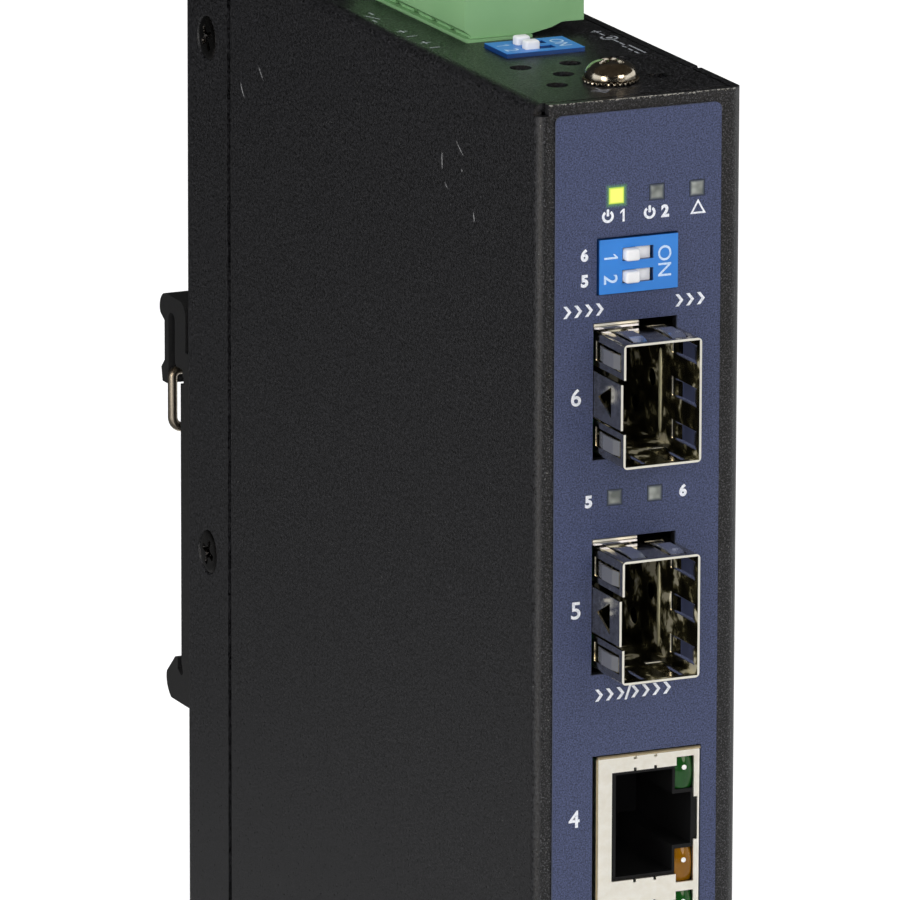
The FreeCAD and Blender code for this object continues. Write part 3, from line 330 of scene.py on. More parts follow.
@dataclass(frozen=True)
class PrintedOverlay(Finish):
    """Back-printed polyester overlay with a velvet surface: even, matt, a faint speckle."""

    dark: str = "#1e253b"
    light: str = "#525b80"
    # The cut edge, from this far behind the face, is painted a paler blue: a painted highlight where the
    # overlay's thickness catches light.
    edge: str = "#5a6178"
    edge_start_mm: float = 0.03
    # Speckle of the velvet coating.
    speckle_mm: float = 0.17
    # The overlay's own face, and the lit window's middle; round that window the overlay has a painted green
    # glow, emission that stands in for the lamp's light spilling into it.
    face_mm: float = 0.0
    lit_mm: tuple[float, float] = (0.0, 0.0)
    lit_half_mm: float = 0.9
    painted_glow_mm: float = 0.5
    painted_glow_level: float = 0.75
    painted_glow_colour: str = "#4f8a1c"

    def shade(self, tree: Tree, shader: Node, place: Socket) -> None:
        """Mix two close blues by a fine speckle, dent the surface a little, and paint a green glow round
        the lit window.

        The painted glow is full at the lit window's edge, and none at painted_glow_mm from it.
        """
        speckle = add_node(tree, "TexNoise",
                           {"Vector": place, "Scale": per_metre(self.speckle_mm), "Detail": 2.0,
                            "Roughness": 0.65})
        blue = tinted(tree, speckle, self.dark, self.light, (0.3, 0.7))
        y = add_node(tree, "SeparateXYZ", {"Vector": place}).outputs["Y"]
        # Painted highlight: the cut edge behind the face is painted paler.
        cut = add_node(tree, "Math", {0: y, 1: (self.face_mm + self.edge_start_mm) * MM},
                       operation="GREATER_THAN")
        edge_highlighted = add_node(tree, "Mix", {"Factor": cut, "A": blue, "B": linear(self.edge)}, data_type="RGBA")
        dents = add_node(tree, "Bump", {"Height": speckle, "Distance": 0.005 * MM, "Strength": 0.5})
        # Painted glow: green emission on the overlay round the lit window.
        painted_glow = add_node(tree, "MapRange",
                        {"Value": square_distance(tree, place, self.lit_mm),
                         "From Min": self.lit_half_mm * MM,
                         "From Max": (self.lit_half_mm + self.painted_glow_mm) * MM, "To Min": self.painted_glow_level,
                         "To Max": 0.0}, interpolation_type="SMOOTHSTEP")
        fill(tree, shader,
             {"Base Color": edge_highlighted, "Normal": dents, "Roughness": 0.55, "Specular IOR Level": 0.35,
              "Emission Strength": painted_glow, "Emission Color": linear(self.painted_glow_colour)})


@dataclass(frozen=True)
class MouldedPlastic(Finish):
    """Injection-moulded plastic: even colour with slow flow clouds and a fine spark-eroded grain."""

    dark: str = "#202020"
    light: str = "#2a2a2a"
    roughness: float = 0.45
    grain_mm: float = 0.12
    grain_depth_mm: float = 0.004
    cloud_mm: float = 5.0
    level: float = 0.5

    def shade(self, tree: Tree, shader: Node, place: Socket) -> None:
        """Cloud the colour, and dent the surface by the mould's grain."""
        cloud = add_node(tree, "TexNoise",
                         {"Vector": place, "Scale": per_metre(self.cloud_mm), "Detail": 3.0})
        grain = add_node(tree, "TexNoise",
                         {"Vector": place, "Scale": per_metre(self.grain_mm), "Detail": 1.0})
        dents = add_node(tree, "Bump",
                         {"Height": grain, "Strength": 0.6, "Distance": self.grain_depth_mm * MM})
        fill(tree, shader,
             {"Base Color": tinted(tree, cloud, self.dark, self.light), "Normal": dents,
              "Roughness": self.roughness, "Specular IOR Level": self.level})


@dataclass(frozen=True)
class SwitchBody(MouldedPlastic):
    """Glossy blue moulding: its face is bright and level, and its sides and slots get painted shade, a
    darker blue.
    """

    # Painted shade: the darker blue of the sides and slots.
    side: str = "#173e78"
    axis: str = "Y"
    face_mm: float = 0.0
    # Whatever lies this far behind the face is a side or a slot; below is for a face that looks up.
    step_mm: float = 0.06
    below: bool = False

    def shade(self, tree: Tree, shader: Node, place: Socket) -> None:
        """Mould first, then paint shade, a darker blue, on whatever lies behind the face."""
        super().shade(tree, shader, place)
        depth = add_node(tree, "SeparateXYZ", {"Vector": place}).outputs[self.axis]
        step, way = (-self.step_mm, "LESS_THAN") if self.below else (self.step_mm, "GREATER_THAN")
        behind = add_node(tree, "Math", {0: depth, 1: (self.face_mm + step) * MM}, operation=way)
        colour = add_node(tree, "Mix",
                          {"Factor": behind, "A": fed(shader, "Base Color"), "B": linear(self.side)},
                          data_type="RGBA")
        fill(tree, shader, {"Base Color": colour})


@dataclass(frozen=True)
class PlatedSheet(Finish):
    """Rolled and plated sheet metal: bright, with rolling waves and small stains in the gloss."""

    dark: str = "#a9a394"
    light: str = "#cfc9b9"
    roughness: tuple[float, float] = (0.12, 0.28)
    wave_mm: float = 2.5
    wave_depth_mm: float = 0.02
    stain_mm: float = 1.2
    spread: tuple[float, float] = (0.35, 0.65)

    def shade(self, tree: Tree, shader: Node, place: Socket) -> None:
        """Vary tone and gloss by stains, and bend reflections by slow waves."""
        stain = add_node(tree, "TexNoise",
                         {"Vector": place, "Scale": per_metre(self.stain_mm), "Detail": 4.0,
                          "Roughness": 0.6})
        wave = add_node(tree, "TexNoise",
                        {"Vector": place, "Scale": per_metre(self.wave_mm), "Detail": 1.0})
        gloss = add_node(tree, "MapRange",
                         {"Value": stain, "From Min": self.spread[0], "From Max": self.spread[1],
                          "To Min": self.roughness[0], "To Max": self.roughness[1]})
        bend = add_node(tree, "Bump",
                        {"Height": wave, "Strength": 1.0, "Distance": self.wave_depth_mm * MM})
        fill(tree, shader,
             {"Base Color": tinted(tree, stain, self.dark, self.light, self.spread), "Roughness": gloss,
              "Normal": bend, "Metallic": 1.0})


@dataclass(frozen=True)
class CageSheet(PlatedSheet):
    """Nickel-silver cage sheet: bright outside, olive and duller inside with painted gleams, painted light
    and reflection on its fingers, and a painted highlight on its hem and cut rim.
    """

    # The outer faces of the cage's walls, without what stands out of them.
    low_mm: tuple[float, float, float] = (0.0, 0.0, 0.0)
    high_mm: tuple[float, float, float] = (0.0, 0.0, 0.0)
    # Tones of the inner wall over a noise, from its dull tone to painted gleams that stand in for where the
    # rolled sheet's waves catch light.
    film_and_gleams: tuple = ((0.44, "#18160e"), (0.55, "#3c3824"), (0.6, "#8f8763"), (0.645, "#fff6d6"))
    film_mm: float = 2.6
    # Near-white on the hem, a painted highlight; on the cut rim partly the bare cut edge, partly a painted
    # highlight.
    rim: str = "#ebe7da"
    # Fingers outside the walls: painted light on the left ones, a painted reflection of the blue overlay on
    # the right ones, and a pale painted reflection on the top ones.
    left_finger_painted_light: str = "#85868c"
    right_finger_painted_reflection: str = "#535a7a"
    top_finger_painted_reflection: str = "#a4a9bc"
    # Inside starts this far in from the outer faces, and what stands out of them this far out.
    inside_mm: float = 0.12
    proud_mm: float = 0.04
    # The left fingers lie further than this from the middle; the hem stands this high, this far back.
    finger_apart_mm: float = 3.2
    hem_rise_mm: float = 0.4
    hem_start_mm: float = 4.5
    rim_mm: float = 0.05

    def both(self, tree: Tree, tests: list) -> Node:
        """One where every test holds, and nothing elsewhere.

        Args:
            tree: The material's node tree.
            tests: What to compare, the comparison, and a limit in millimetres each.

        Returns:
            The node that gives that number.
        """
        hits = [add_node(tree, "Math", {0: value, 1: limit * MM}, operation=way) for value, way,
                limit in tests]
        mask = hits[0]
        for hit in hits[1:]:
            mask = add_node(tree, "Math", {0: mask, 1: hit}, operation="MINIMUM")
        return mask

    def inner_film_and_gleams(self, tree: Tree, place: Socket) -> Node:
        """The inner walls' tones with their painted gleams, ramped over a slow wave.

        Args:
            tree: The material's node tree.
            place: Object coordinates, in metres.

        Returns:
            The node that gives the colour.
        """
        wave = add_node(tree, "TexNoise",
                        {"Vector": place, "Scale": per_metre(self.film_mm), "Detail": 3.0,
                         "Roughness": 0.55, "Distortion": 0.3})
        ramp = add_node(tree, "ValToRGB", {"Fac": wave})
        stops = ramp.color_ramp.elements
        while len(stops) < len(self.film_and_gleams):
            stops.new(0.5)
        for stop, (position, tone) in zip(stops, self.film_and_gleams):
            stop.position = position
            stop.color = linear(tone)
        return ramp

    def shade(self, tree: Tree, shader: Node, place: Socket) -> None:
        """Plate first, then give inner walls, fingers, hem and rim their own tone, metal share and gloss:
        painted gleams inside, painted light and reflection on the fingers, and a painted highlight on the
        hem and rim.

        A dull coating or a cut edge scatters light, so those are only partly a mirror.
        """
        super().shade(tree, shader, place)
        x, y, z = add_node(tree, "SeparateXYZ", {"Vector": place}).outputs
        (left, front, bottom), (right, _, top) = self.low_mm, self.high_mm
        shift = add_node(tree, "Math", {0: z, 1: (bottom + top) / 2 * MM}, operation="SUBTRACT")
        off_middle = add_node(tree, "Math", {0: shift}, operation="ABSOLUTE")
        more, less = "GREATER_THAN", "LESS_THAN"
        inside = [(x, more, left + self.inside_mm), (x, less, right - self.inside_mm),
                  (z, more, bottom + self.inside_mm), (z, less, top - self.inside_mm)]
        rim = linear(self.rim)
        # Inner walls with painted gleams, fingers with painted light and reflection, hem and cut rim with a
        # painted highlight.
        zones = (
            (inside, self.inner_film_and_gleams(tree, place), 0.4, 0.26),
            ([(x, less, left - self.proud_mm), (off_middle, more, self.finger_apart_mm)],
             linear(self.left_finger_painted_light), 0.45, 0.26),
            ([(x, more, right + self.proud_mm)], linear(self.right_finger_painted_reflection), 0.3, 0.3),
            ([(z, more, top + self.proud_mm)], linear(self.top_finger_painted_reflection), 0.75, 0.14),
            ([(z, more, top + self.hem_rise_mm), (y, more, front + self.hem_start_mm)], rim, 0.3, 0.3),
            ([(y, less, front + self.rim_mm)], rim, 0.3, 0.3),
        )
        tone, gloss, metallic = fed(shader, "Base Color"), fed(shader, "Roughness"), 1.0
        for tests, *own in zones:
            mask = self.both(tree, tests)
            tone, metallic, gloss = [
                add_node(tree, "Mix", {"Factor": mask, "A": under, "B": over}, data_type=kind)
                for under, over, kind in zip((tone, metallic, gloss), own, ("RGBA", "FLOAT", "FLOAT"))]
        fill(tree, shader, {"Base Color": tone, "Roughness": gloss, "Metallic": metallic})


@dataclass(frozen=True)
class DrawnMetal(Finish):
    """Metal with lines along one axis, as drawing, turning or extruding leaves them."""

    dark: str = "#8f8578"
    light: str = "#b3a998"
    roughness: float = 0.3
    line_mm: float = 0.25
    line_depth_mm: float = 0.004
    along: tuple[float, float, float] = (0.03, 1.0, 1.0)
    metallic: float = 1.0

    def shade(self, tree: Tree, shader: Node, place: Socket) -> None:
        """Stretch a noise along the working direction for tone and for fine ridges."""
        stretched = add_node(tree, "Mapping", {"Vector": place, "Scale": self.along})
        line = add_node(tree, "TexNoise",
                        {"Vector": stretched, "Scale": per_metre(self.line_mm), "Detail": 3.0})
        ridges = add_node(tree, "Bump",
                          {"Height": line, "Distance": self.line_depth_mm * MM, "Strength": 0.8})
        fill(tree, shader,
             {"Base Color": tinted(tree, line, self.dark, self.light), "Normal": ridges,
              "Roughness": self.roughness, "Metallic": self.metallic})


@dataclass(frozen=True)
class LitWindow(Finish):
    """A clear window with a lamp on behind it: hot in the middle, greener towards its edges."""

    core: str = "#feff76"
    rim: str = "#8fc43a"
    unlit: str = "#2b3310"
    rim_mm: tuple[float, float] = (0.68, 0.98)
    centre_mm: tuple[float, float] = (0.0, 0.0)

    def shade(self, tree: Tree, shader: Node, place: Socket) -> None:
        """Colour by the distance from the window's centre, and shine with that colour."""
        far = square_distance(tree, place, self.centre_mm)
        span = (self.rim_mm[0] * MM, self.rim_mm[1] * MM)
        fill(tree, shader,
             {"Emission Color": tinted(tree, far, self.core, self.rim, span), "Emission Strength": 1.0,
              "Base Color": linear(self.unlit), "Roughness": 0.4})


@dataclass(frozen=True)
class ClearWindow(Finish):
    """Clear polycarbonate over a dark lamp: greyish and cloudy, with painted shade where it meets the
    overlay.
    """

    dark: str = "#666a66"
    light: str = "#a6aaa4"
    # Painted shade round each window's edge: its colour, and how far in from the edge it reaches.
    border: str = "#3a4150"
    border_mm: float = 0.4
    half_mm: float = 0.9
    facet_mm: float = 0.8
    centres_mm: tuple = ()

    def shade(self, tree: Tree, shader: Node, place: Socket) -> None:
        """Cells stand for the facets behind the window; each window's border gets painted shade."""
        cells = add_node(tree, "TexVoronoi",
                         {"Vector": place, "Scale": per_metre(self.facet_mm), "Randomness": 1.0},
                         feature="SMOOTH_F1")
        facets = tinted(tree, cells, self.light, self.dark, (0.1, 0.7))
        nearest, *others = [square_distance(tree, place, centre) for centre in self.centres_mm]
        for other in others:
            nearest = add_node(tree, "Math", {0: nearest, 1: other}, operation="MINIMUM")
        # Painted shade: darker towards each window's edge.
        rim = add_node(tree, "MapRange",
                       {"Value": nearest, "From Min": (self.half_mm - self.border_mm) * MM,
                        "From Max": self.half_mm * MM}, interpolation_type="SMOOTHSTEP")
        edge_shaded = add_node(tree, "Mix", {"Factor": rim, "A": facets, "B": linear(self.border)},
                          data_type="RGBA")
        fill(tree, shader, {"Base Color": edge_shaded, "Roughness": 0.4, "Specular IOR Level": 0.25})


@dataclass(frozen=True)
class TintedPipe(Finish):
    """Tinted clear acrylic light pipe: deep colour and clear gloss, with slow clouds of moulding flow."""

    deep: str = "#174a26"
    thin: str = "#2f7d40"
    flow_mm: float = 1.5

    def shade(self, tree: Tree, shader: Node, place: Socket) -> None:
        """Cloud the tint by the moulding flow, under a clear polish."""
        flow = add_node(tree, "TexNoise",
                        {"Vector": place, "Scale": per_metre(self.flow_mm), "Detail": 2.0})
        fill(tree, shader,
             {"Base Color": tinted(tree, flow, self.deep, self.thin), "Roughness": 0.1, "IOR": 1.49,
              "Specular IOR Level": 0.35})


@dataclass(frozen=True)
class ScreenInk(Finish):
    """Screen-printed ink: flat colour whose edge and cover vary a little."""

    thin: str = "#c3c8d6"
    full: str = "#dfe3ee"
    mark_mm: float = 0.2

    def shade(self, tree: Tree, shader: Node, place: Socket) -> None:
        """Marks of the screen's mesh thin the ink."""
        mark = add_node(tree, "TexNoise",
                        {"Vector": place, "Scale": per_metre(self.mark_mm), "Detail": 2.0})
        fill(tree, shader,
             {"Base Color": tinted(tree, mark, self.thin, self.full, (0.3, 0.6)), "Roughness": 0.6})


@dataclass(frozen=True)
class SolderMask(Finish):
    """Green solder mask over glass-epoxy: copper tracks show as lighter lines under the lacquer."""

    track: str = "#2c7a48"
    bare: str = "#1a5a33"
    pitch_mm: float = 2.0

    def shade(self, tree: Tree, shader: Node, place: Socket) -> None:
        """The borders of square cells stand for the tracks."""
        tracks = add_node(tree, "TexVoronoi", {"Vector": place, "Scale": per_metre(self.pitch_mm)},
                          distance="CHEBYCHEV", feature="DISTANCE_TO_EDGE")
        fill(tree, shader,
             {"Base Color": tinted(tree, tracks, self.track, self.bare, (0.04, 0.08)), "Roughness": 0.3})


# Black coat whose grit breaks up reflections; inks lie flat and matt, and rubbing leaves the coat paler.
COAT = PowderCoat("powder_coated_steel", "powder_coat")
WHITE_INK = ScreenInk("white_screen_ink", "overlay", thin="#d3d7e2", full="#f4f6fb")
PALE_INK = ScreenInk("pale_blue_print", "blue_plastic", thin="#a9cdf2", full="#cfe4fb")
GREY_INK = ScreenInk("grey_screen_ink", "powder_coat", thin="#66686e", full="#a6a9b1")
RUBBED = ScreenInk("rubbed_powder_coat", "powder_coat", thin="#444445", full="#8b8b8c")
# Plated metals: zinc is grey and soft, black zinc dark and satin, nickel bright and sharp, tin white and
# dull, and gold warm.
ZINC = PlatedSheet("zinc_plated_steel", "zinc_steel", dark="#9b9c9c", light="#bcbdbd",
                   roughness=(0.3, 0.45))
BLACK_ZINC = PlatedSheet("black_zinc_steel", "black_screw", dark="#2c2b2b", light="#4d4b4a",
                         roughness=(0.16, 0.3), wave_mm=0.8, wave_depth_mm=0.012)
NICKEL = PlatedSheet("nickel_plated_steel", "bright_nickel", dark="#b8ae9c", light="#dcd3c2",
                     roughness=(0.11, 0.2), wave_depth_mm=0.006)
TIN = PlatedSheet("tin_plated_sheet", "tinned_metal", dark="#f3efe3", light="#faf8f0",
                  roughness=(0.4, 0.46), wave_mm=4.0, wave_depth_mm=0.004)
GOLD = PlatedSheet("gold_plated_contacts", "gold", dark="#b48a45", light="#d9b36b", roughness=(0.2, 0.3),
                   wave_depth_mm=0.002)
# Worked metals: the lines run down the spring's wire and the pressed ribs, and across the device on the
# rail clip and the aluminium.
SPRING_WIRE = DrawnMetal("drawn_spring_wire", "spring_steel", along=(1.0, 1.0, 0.04), roughness=0.32)
RIB_SHEET = DrawnMetal("pressed_rib_sheet", "bright_nickel", dark="#a9a17a", light="#ece5be",
                       roughness=0.25, line_mm=0.6, along=(1.0, 1.0, 0.5), metallic=0.4)
ANODISED = DrawnMetal("black_anodised_extrusion", "black_anodised", dark="#161616", light="#262627",
                      roughness=0.42, line_mm=0.35, metallic=0.0)
ALUMINIUM = DrawnMetal("plain_aluminium", "aluminium", dark="#a8aaac", light="#c4c6c8", line_mm=0.3)
# Mouldings: clean white sliders, a near-black matt insert, clouded pale green terminals and clear lamps;
# near-white domes on the light pipes stand in as painted glints.
WHITE_NYLON = MouldedPlastic("white_nylon", "white_plastic", dark="#e6e6e8", light="#fafafc", roughness=0.5,
                             cloud_mm=2.0)
BLACK_INSERT = MouldedPlastic("black_glass_filled_nylon", "black_plastic", dark="#0d0d0e", light="#1b1b1c",
                              roughness=0.42, grain_depth_mm=0.006, level=0.15)
TERMINAL_GREEN = MouldedPlastic("green_terminal_nylon", "terminal_green", dark="#7fb07a", light="#93c08c",
                                roughness=0.42, cloud_mm=7.0)
LAMP_CLEAR = MouldedPlastic("clear_lamp_epoxy", "clear_led", dark="#b9bdb4", light="#d3d6cd", roughness=0.2)
GLINT_TIP = MouldedPlastic("painted_glint_tip", "clear_led", dark="#f4f4ec", light="#ffffff",
                           roughness=0.15)
# The shield's bends are painted darker and browner than the tin: painted shade and a warm painted
# reflection along the fold.
SHADED_BENT_EDGE = DrawnMetal("bent_tinned_edge_painted_shade", "tinned_metal", dark="#80725a", light="#b0a384", roughness=0.4,
                       metallic=0.4)
# Light pipes read as deep green and amber glass; the board glints with tracks under green lacquer.
GREEN_PIPE = TintedPipe("green_tinted_acrylic", "green_acrylic", deep="#0e3a10", thin="#1a561d")
AMBER_PIPE = TintedPipe("amber_tinted_acrylic", "amber_acrylic", deep="#6e4602", thin="#976404")
BOARD = SolderMask("green_solder_mask", "green_board")


# ---------------------------------------------------------------- shapes


@dataclass
class Patch:
    """A surface as arrays: points in millimetres and the faces between them."""

    points: np.ndarray
    faces: list[tuple[int, ...]]

    def moved(self, turn: np.ndarray, shift: tuple[float, float, float]) -> "Patch":
        """The patch with every point turned by a 3 x 3 matrix, then shifted."""
        return Patch(self.points @ np.asarray(turn, float).T + np.asarray(shift, float), self.faces)

    def shifted(self, shift: tuple[float, float, float]) -> "Patch":
        """The patch shifted without turning."""
        return self.moved(np.eye(3), shift)


def joined(patches: list[Patch]) -> Patch:
    """Put several patches into one.

    Args:
        patches: The patches.

    Returns:
        One patch with all their points and faces.
    """
    starts = np.cumsum([0] + [len(p.points) for p in patches])
    faces = [tuple(int(i + start) for i in face) for p, start in zip(patches, starts) for face in p.faces]
    return Patch(np.concatenate([p.points for p in patches]), faces)


def grid_faces(rows: int, columns: int, wrap_rows: bool = False, wrap_columns: bool = False) -> list:
    """Quads between the neighbours of a grid of points stored row by row.

    Args:
        rows: Number of rows.
        columns: Number of columns.
        wrap_rows: Whether the last row joins the first.
        wrap_columns: Whether the last column joins the first.

    Returns:
        The quads as tuples of indices.
    """
    i, j = np.meshgrid(np.arange(rows if wrap_rows else rows - 1),
                       np.arange(columns if wrap_columns else columns - 1), indexing="ij")
    down, across = (i + 1) % rows, (j + 1) % columns
    quads = np.stack([i * columns + j, i * columns + across, down * columns + across, down * columns + j],
                     -1)
    return [tuple(q) for q in quads.reshape(-1, 4).tolist()]


def surface(x: np.ndarray, y: np.ndarray, z: np.ndarray, wrap_rows: bool = False,
            wrap_columns: bool = True) -> Patch:
    """A patch from three grids of coordinates, which are broadcast to one shape.

    Args:
        x: X of each point.
        y: Y of each point.
        z: Z of each point.
        wrap_rows: Whether the last row joins the first.
        wrap_columns: Whether the last column joins the first.

    Returns:
        The patch.
    """
    points = np.stack(np.broadcast_arrays(x, y, z), -1)
    return Patch(points.reshape(-1, 3), grid_faces(*points.shape[:2], wrap_rows, wrap_columns))


def full_turn(steps: int) -> np.ndarray:
    """Angles once round, evenly spaced, without the last one, which would repeat the first."""
    return np.linspace(0.0, 2.0 * np.pi, steps, endpoint=False)


def corner_walk(steps: int) -> tuple[np.ndarray, np.ndarray, np.ndarray]:
    """Once round four corners: the angle of each point, and the side in X and in Y of its corner.

    Angles are repeated at the quadrants' borders, where the flat sides open between them.
    """
    quarter = np.linspace(0.0, np.pi / 2, steps + 1)
    around = np.concatenate([quarter + k * np.pi / 2 for k in range(4)])
    return around, np.repeat([1, -1, -1, 1], steps + 1), np.repeat([1, 1, -1, -1], steps + 1)


def lathe(profile: list[tuple[float, float]], segments: int = 64) -> Patch:
    """Turn a profile round Z: x = r cos a, y = r sin a, z = h, for each (r, h) and angle a."""
    radius, height = np.array(profile, float).T[:, :, None]
    angle = full_turn(segments)
    return surface(radius * np.cos(angle), radius * np.sin(angle), height)


def rounded_block(half: tuple[float, float, float], radius: float, steps: int = 4) -> Patch:
    """A closed box with round edges, centred on the origin.

    Each point is a corner of the inner box, which is smaller by the radius, plus the radius along a
    sphere's normal.
    """
    core = np.array(half, float) - radius
    around, sign_x, sign_y = corner_walk(steps)
    quarter = np.linspace(0.0, np.pi / 2, steps + 1)
    tilt = np.concatenate([quarter - np.pi / 2, quarter])[:, None]
    sign_z = np.repeat([-1, 1], steps + 1)[:, None]
    shell = surface(core[0] * sign_x + radius * np.cos(tilt) * np.cos(around),
                    core[1] * sign_y + radius * np.cos(tilt) * np.sin(around),
                    core[2] * sign_z + radius * np.sin(tilt))
    corners = [k * (steps + 1) for k in range(4)]
    last_row = len(shell.points) - len(around)
    shell.faces.append(tuple(reversed(corners)))
    shell.faces.append(tuple(last_row + corner for corner in corners))
    return shell


def cross_depth(x: np.ndarray, y: np.ndarray, reach: float, blade: float) -> np.ndarray:
    """How deep a cross recess is at each point, from 0 to 1.

    Each arm is a slot of the blade's width with steep sides whose floor rises towards its end; the
    deeper arm counts, and a cone adds to the middle.
    """
    def arm(a: np.ndarray, b: np.ndarray) -> np.ndarray:
        side = np.clip((blade / 2 - np.abs(b)) / (0.16 * blade) + 0.5, 0, 1)
        end = np.clip((reach - np.abs(a)) / (0.2 * reach) + 0.5, 0, 1)
        return side * end * (1.0 - 0.45 * np.abs(a) / reach)
    middle = np.clip(1.2 - np.hypot(x, y) / (0.42 * reach), 0, 1)
    return np.maximum(np.maximum(arm(x, y), arm(y, x)), middle)


def screw_head(profile: list[tuple[float, float]], reach: float, blade: float, depth: float,
               rings: int = 40, segments: int = 96) -> Patch:
    """A turned head with a cross recess: height = profile(radius) - depth x recess(x, y).

    Args:
        profile: (radius, height) points of the head from its middle outwards.
        reach: Length of a recess arm from the middle.
        blade: Width of an arm.
        depth: Depth of the recess.
        rings: Rings between the middle and where the recess has ended.
        segments: Points on each ring.

    Returns:
        The head's outer surface.
    """
    radius_in, height_in = np.array(profile, float).T
    inner = np.linspace(0.0, min(1.25 * reach, radius_in[-1]), rings)
    outer = radius_in[radius_in > inner[-1] + 1e-6]
    radius = np.concatenate([inner, outer])
    height = np.concatenate([np.interp(inner, radius_in, height_in),
                             height_in[radius_in > inner[-1] + 1e-6]])
    angle = full_turn(segments)
    x = radius[:, None] * np.cos(angle)
    y = radius[:, None] * np.sin(angle)
    return surface(x, y, height[:, None] - depth * cross_depth(x, y, reach, blade))


def basis(right: tuple, up: tuple, out: tuple) -> np.ndarray:
    """The matrix that sends local X, Y and Z along the three given axes."""
    return np.array([right, up, out], float).T


FRONT = basis((1, 0, 0), (0, 0, 1), (0, -1, 0))
TOP = basis((1, 0, 0), (0, 1, 0), (0, 0, 1))
LEFT = basis((0, -1, 0), (0, 0, 1), (-1, 0, 0))
RIGHT = basis((0, 1, 0), (0, 0, 1), (1, 0, 0))
BACK = basis((-1, 0, 0), (0, 0, 1), (0, 1, 0))


def add_piece(name: str, patch: Patch, finish: Finish, body: str = HOUSING, smooth: bool = True,
              sharp_degrees: float = 35.0) -> bpy.types.Object:
    """Make a mesh object from a patch, dress it, and let it ride on a body.

    Args:
        name: The piece's name.
        patch: Its surface in millimetres.
        finish: Its finish.
        body: The CAD body that it moves with.
        smooth: Whether its faces are smooth between edges sharper than sharp_degrees.
        sharp_degrees: The angle past which an edge stays sharp.

    Returns:
        The new object.
    """
    mesh = bpy.data.meshes.new(name)
    mesh.from_pydata((patch.points * MM).tolist(), [], patch.faces)
    mesh.validate()
    work = bmesh.new()
    work.from_mesh(mesh)
    bmesh.ops.remove_doubles(work, verts=work.verts, dist=1e-7)
    bmesh.ops.recalc_face_normals(work, faces=work.faces)
    work.to_mesh(mesh)
    work.free()
    if smooth:
        mesh.shade_smooth()
        mesh.set_sharp_from_angle(angle=math.radians(sharp_degrees))
    piece = bpy.data.objects.new(name, mesh)
    bpy.context.scene.collection.objects.link(piece)
    mesh.materials.append(finish.material())
    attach(piece, body)
    LOG.info("piece %s: %d faces", name, len(mesh.polygons))
    return piece


def dress(finish: Finish, *nodes: str) -> None:
    """Give CAD nodes a finish by filling their material slots."""
    for node in nodes:
        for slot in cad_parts[node].material_slots:
            slot.material = finish.material()
        LOG.info("node %s: %s", node, finish.name)


def box_mm(node: str) -> tuple[np.ndarray, np.ndarray]:
    """The lowest and highest corners of a CAD node, in millimetres."""
    low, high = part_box(node)
    return np.array(low) / MM, np.array(high) / MM


def top_mm() -> float:
    """Height of the housing's top, in millimetres."""
    return float(box_mm("front_shell")[1][2])


def lettering(text: str, height: float, width: float | None = None, heavy: float = 0.0) -> Patch:
    """Flat glyphs centred on the origin, facing +Z.

    Args:
        text: What to print.
        height: Height of the glyphs in millimetres.
        width: Overall width in millimetres, or None to keep the glyphs' proportions.
        heavy: How far the outline is thickened, as a share of the type size.

    Returns:
        The glyphs as a patch.
    """
    if text == Way.FIRST.value:
        return figure_one(height, 0.13 + heavy)
    curve = bpy.data.curves.new("type", "FONT")
    curve.body = text
    curve.offset = heavy
    curve.resolution_u = 6
    holder = bpy.data.objects.new("type", curve)
    bpy.context.scene.collection.objects.link(holder)
    bpy.context.view_layer.update()
    mesh = bpy.data.meshes.new_from_object(holder.evaluated_get(bpy.context.evaluated_depsgraph_get()))
    points = np.zeros(len(mesh.vertices) * 3)
    mesh.vertices.foreach_get("co", points)
    points = points.reshape(-1, 3)
    faces = [tuple(face.vertices) for face in mesh.polygons]
    bpy.data.objects.remove(holder)
    bpy.data.meshes.remove(mesh)
    low, high = points.min(0), points.max(0)
    points = points - (low + high) / 2
    scale_y = height / (high[1] - low[1])
    scale_x = scale_y if width is None else width / (high[0] - low[0])
    return Patch(points * [scale_x, scale_y, 0.0], faces)


def figure_one(height: float, share: float) -> Patch:
    """The figure 1, which the built-in type draws as a bare stroke: a stem with a flag at its head.

    Args:
        height: Its height in millimetres.
        share: The stem's width as a share of the height.

    Returns:
        The figure, centred on the origin and facing +Z.
    """
    stem, half = share, 0.5
    flag = np.array([(0.5 * stem, half), (-0.3 * stem, half), (-0.5 * stem - 0.2, 0.27),
                     (-0.5 * stem - 0.2, 0.27 - 0.9 * stem), (-0.5 * stem, half - 0.2),
                     (-0.5 * stem, -half), (0.5 * stem, -half)]) * height
    points = np.column_stack([flag + [0.08 * height, 0.0], np.zeros(len(flag))])
    return Patch(points, [(0, 1, 4, 5, 6), (1, 2, 3, 4)])


def bar(width: float, height: float, corner: float = 0.1, steps: int = 4) -> Patch:
    """A flat bar with round corners, facing +Z: four quarter circles joined by straight sides."""
    angle, side_x, side_y = corner_walk(steps)
    points = np.stack([side_x * (width / 2 - corner) + corner * np.cos(angle),
                       side_y * (height / 2 - corner) + corner * np.sin(angle), 0 * angle], -1)
    return Patch(points, [tuple(range(len(points)))])


def arc_band(radius: float, width: float, start: float, end: float, steps: int = 28) -> Patch:
    """A flat band along a circle's arc, facing +Z: two rows of points at radius and radius - width."""
    angle = np.linspace(start, end, steps)
    reach = np.array([radius, radius - width])[:, None]
    return surface(reach * np.cos(angle), reach * np.sin(angle), 0.0, wrap_columns=False)


def slanted(patch: Patch, shear: float) -> Patch:
    """The patch with X moved by shear x Y."""
    return patch.moved(np.array([[1, shear, 0], [0, 1, 0], [0, 0, 1]], float), (0, 0, 0))


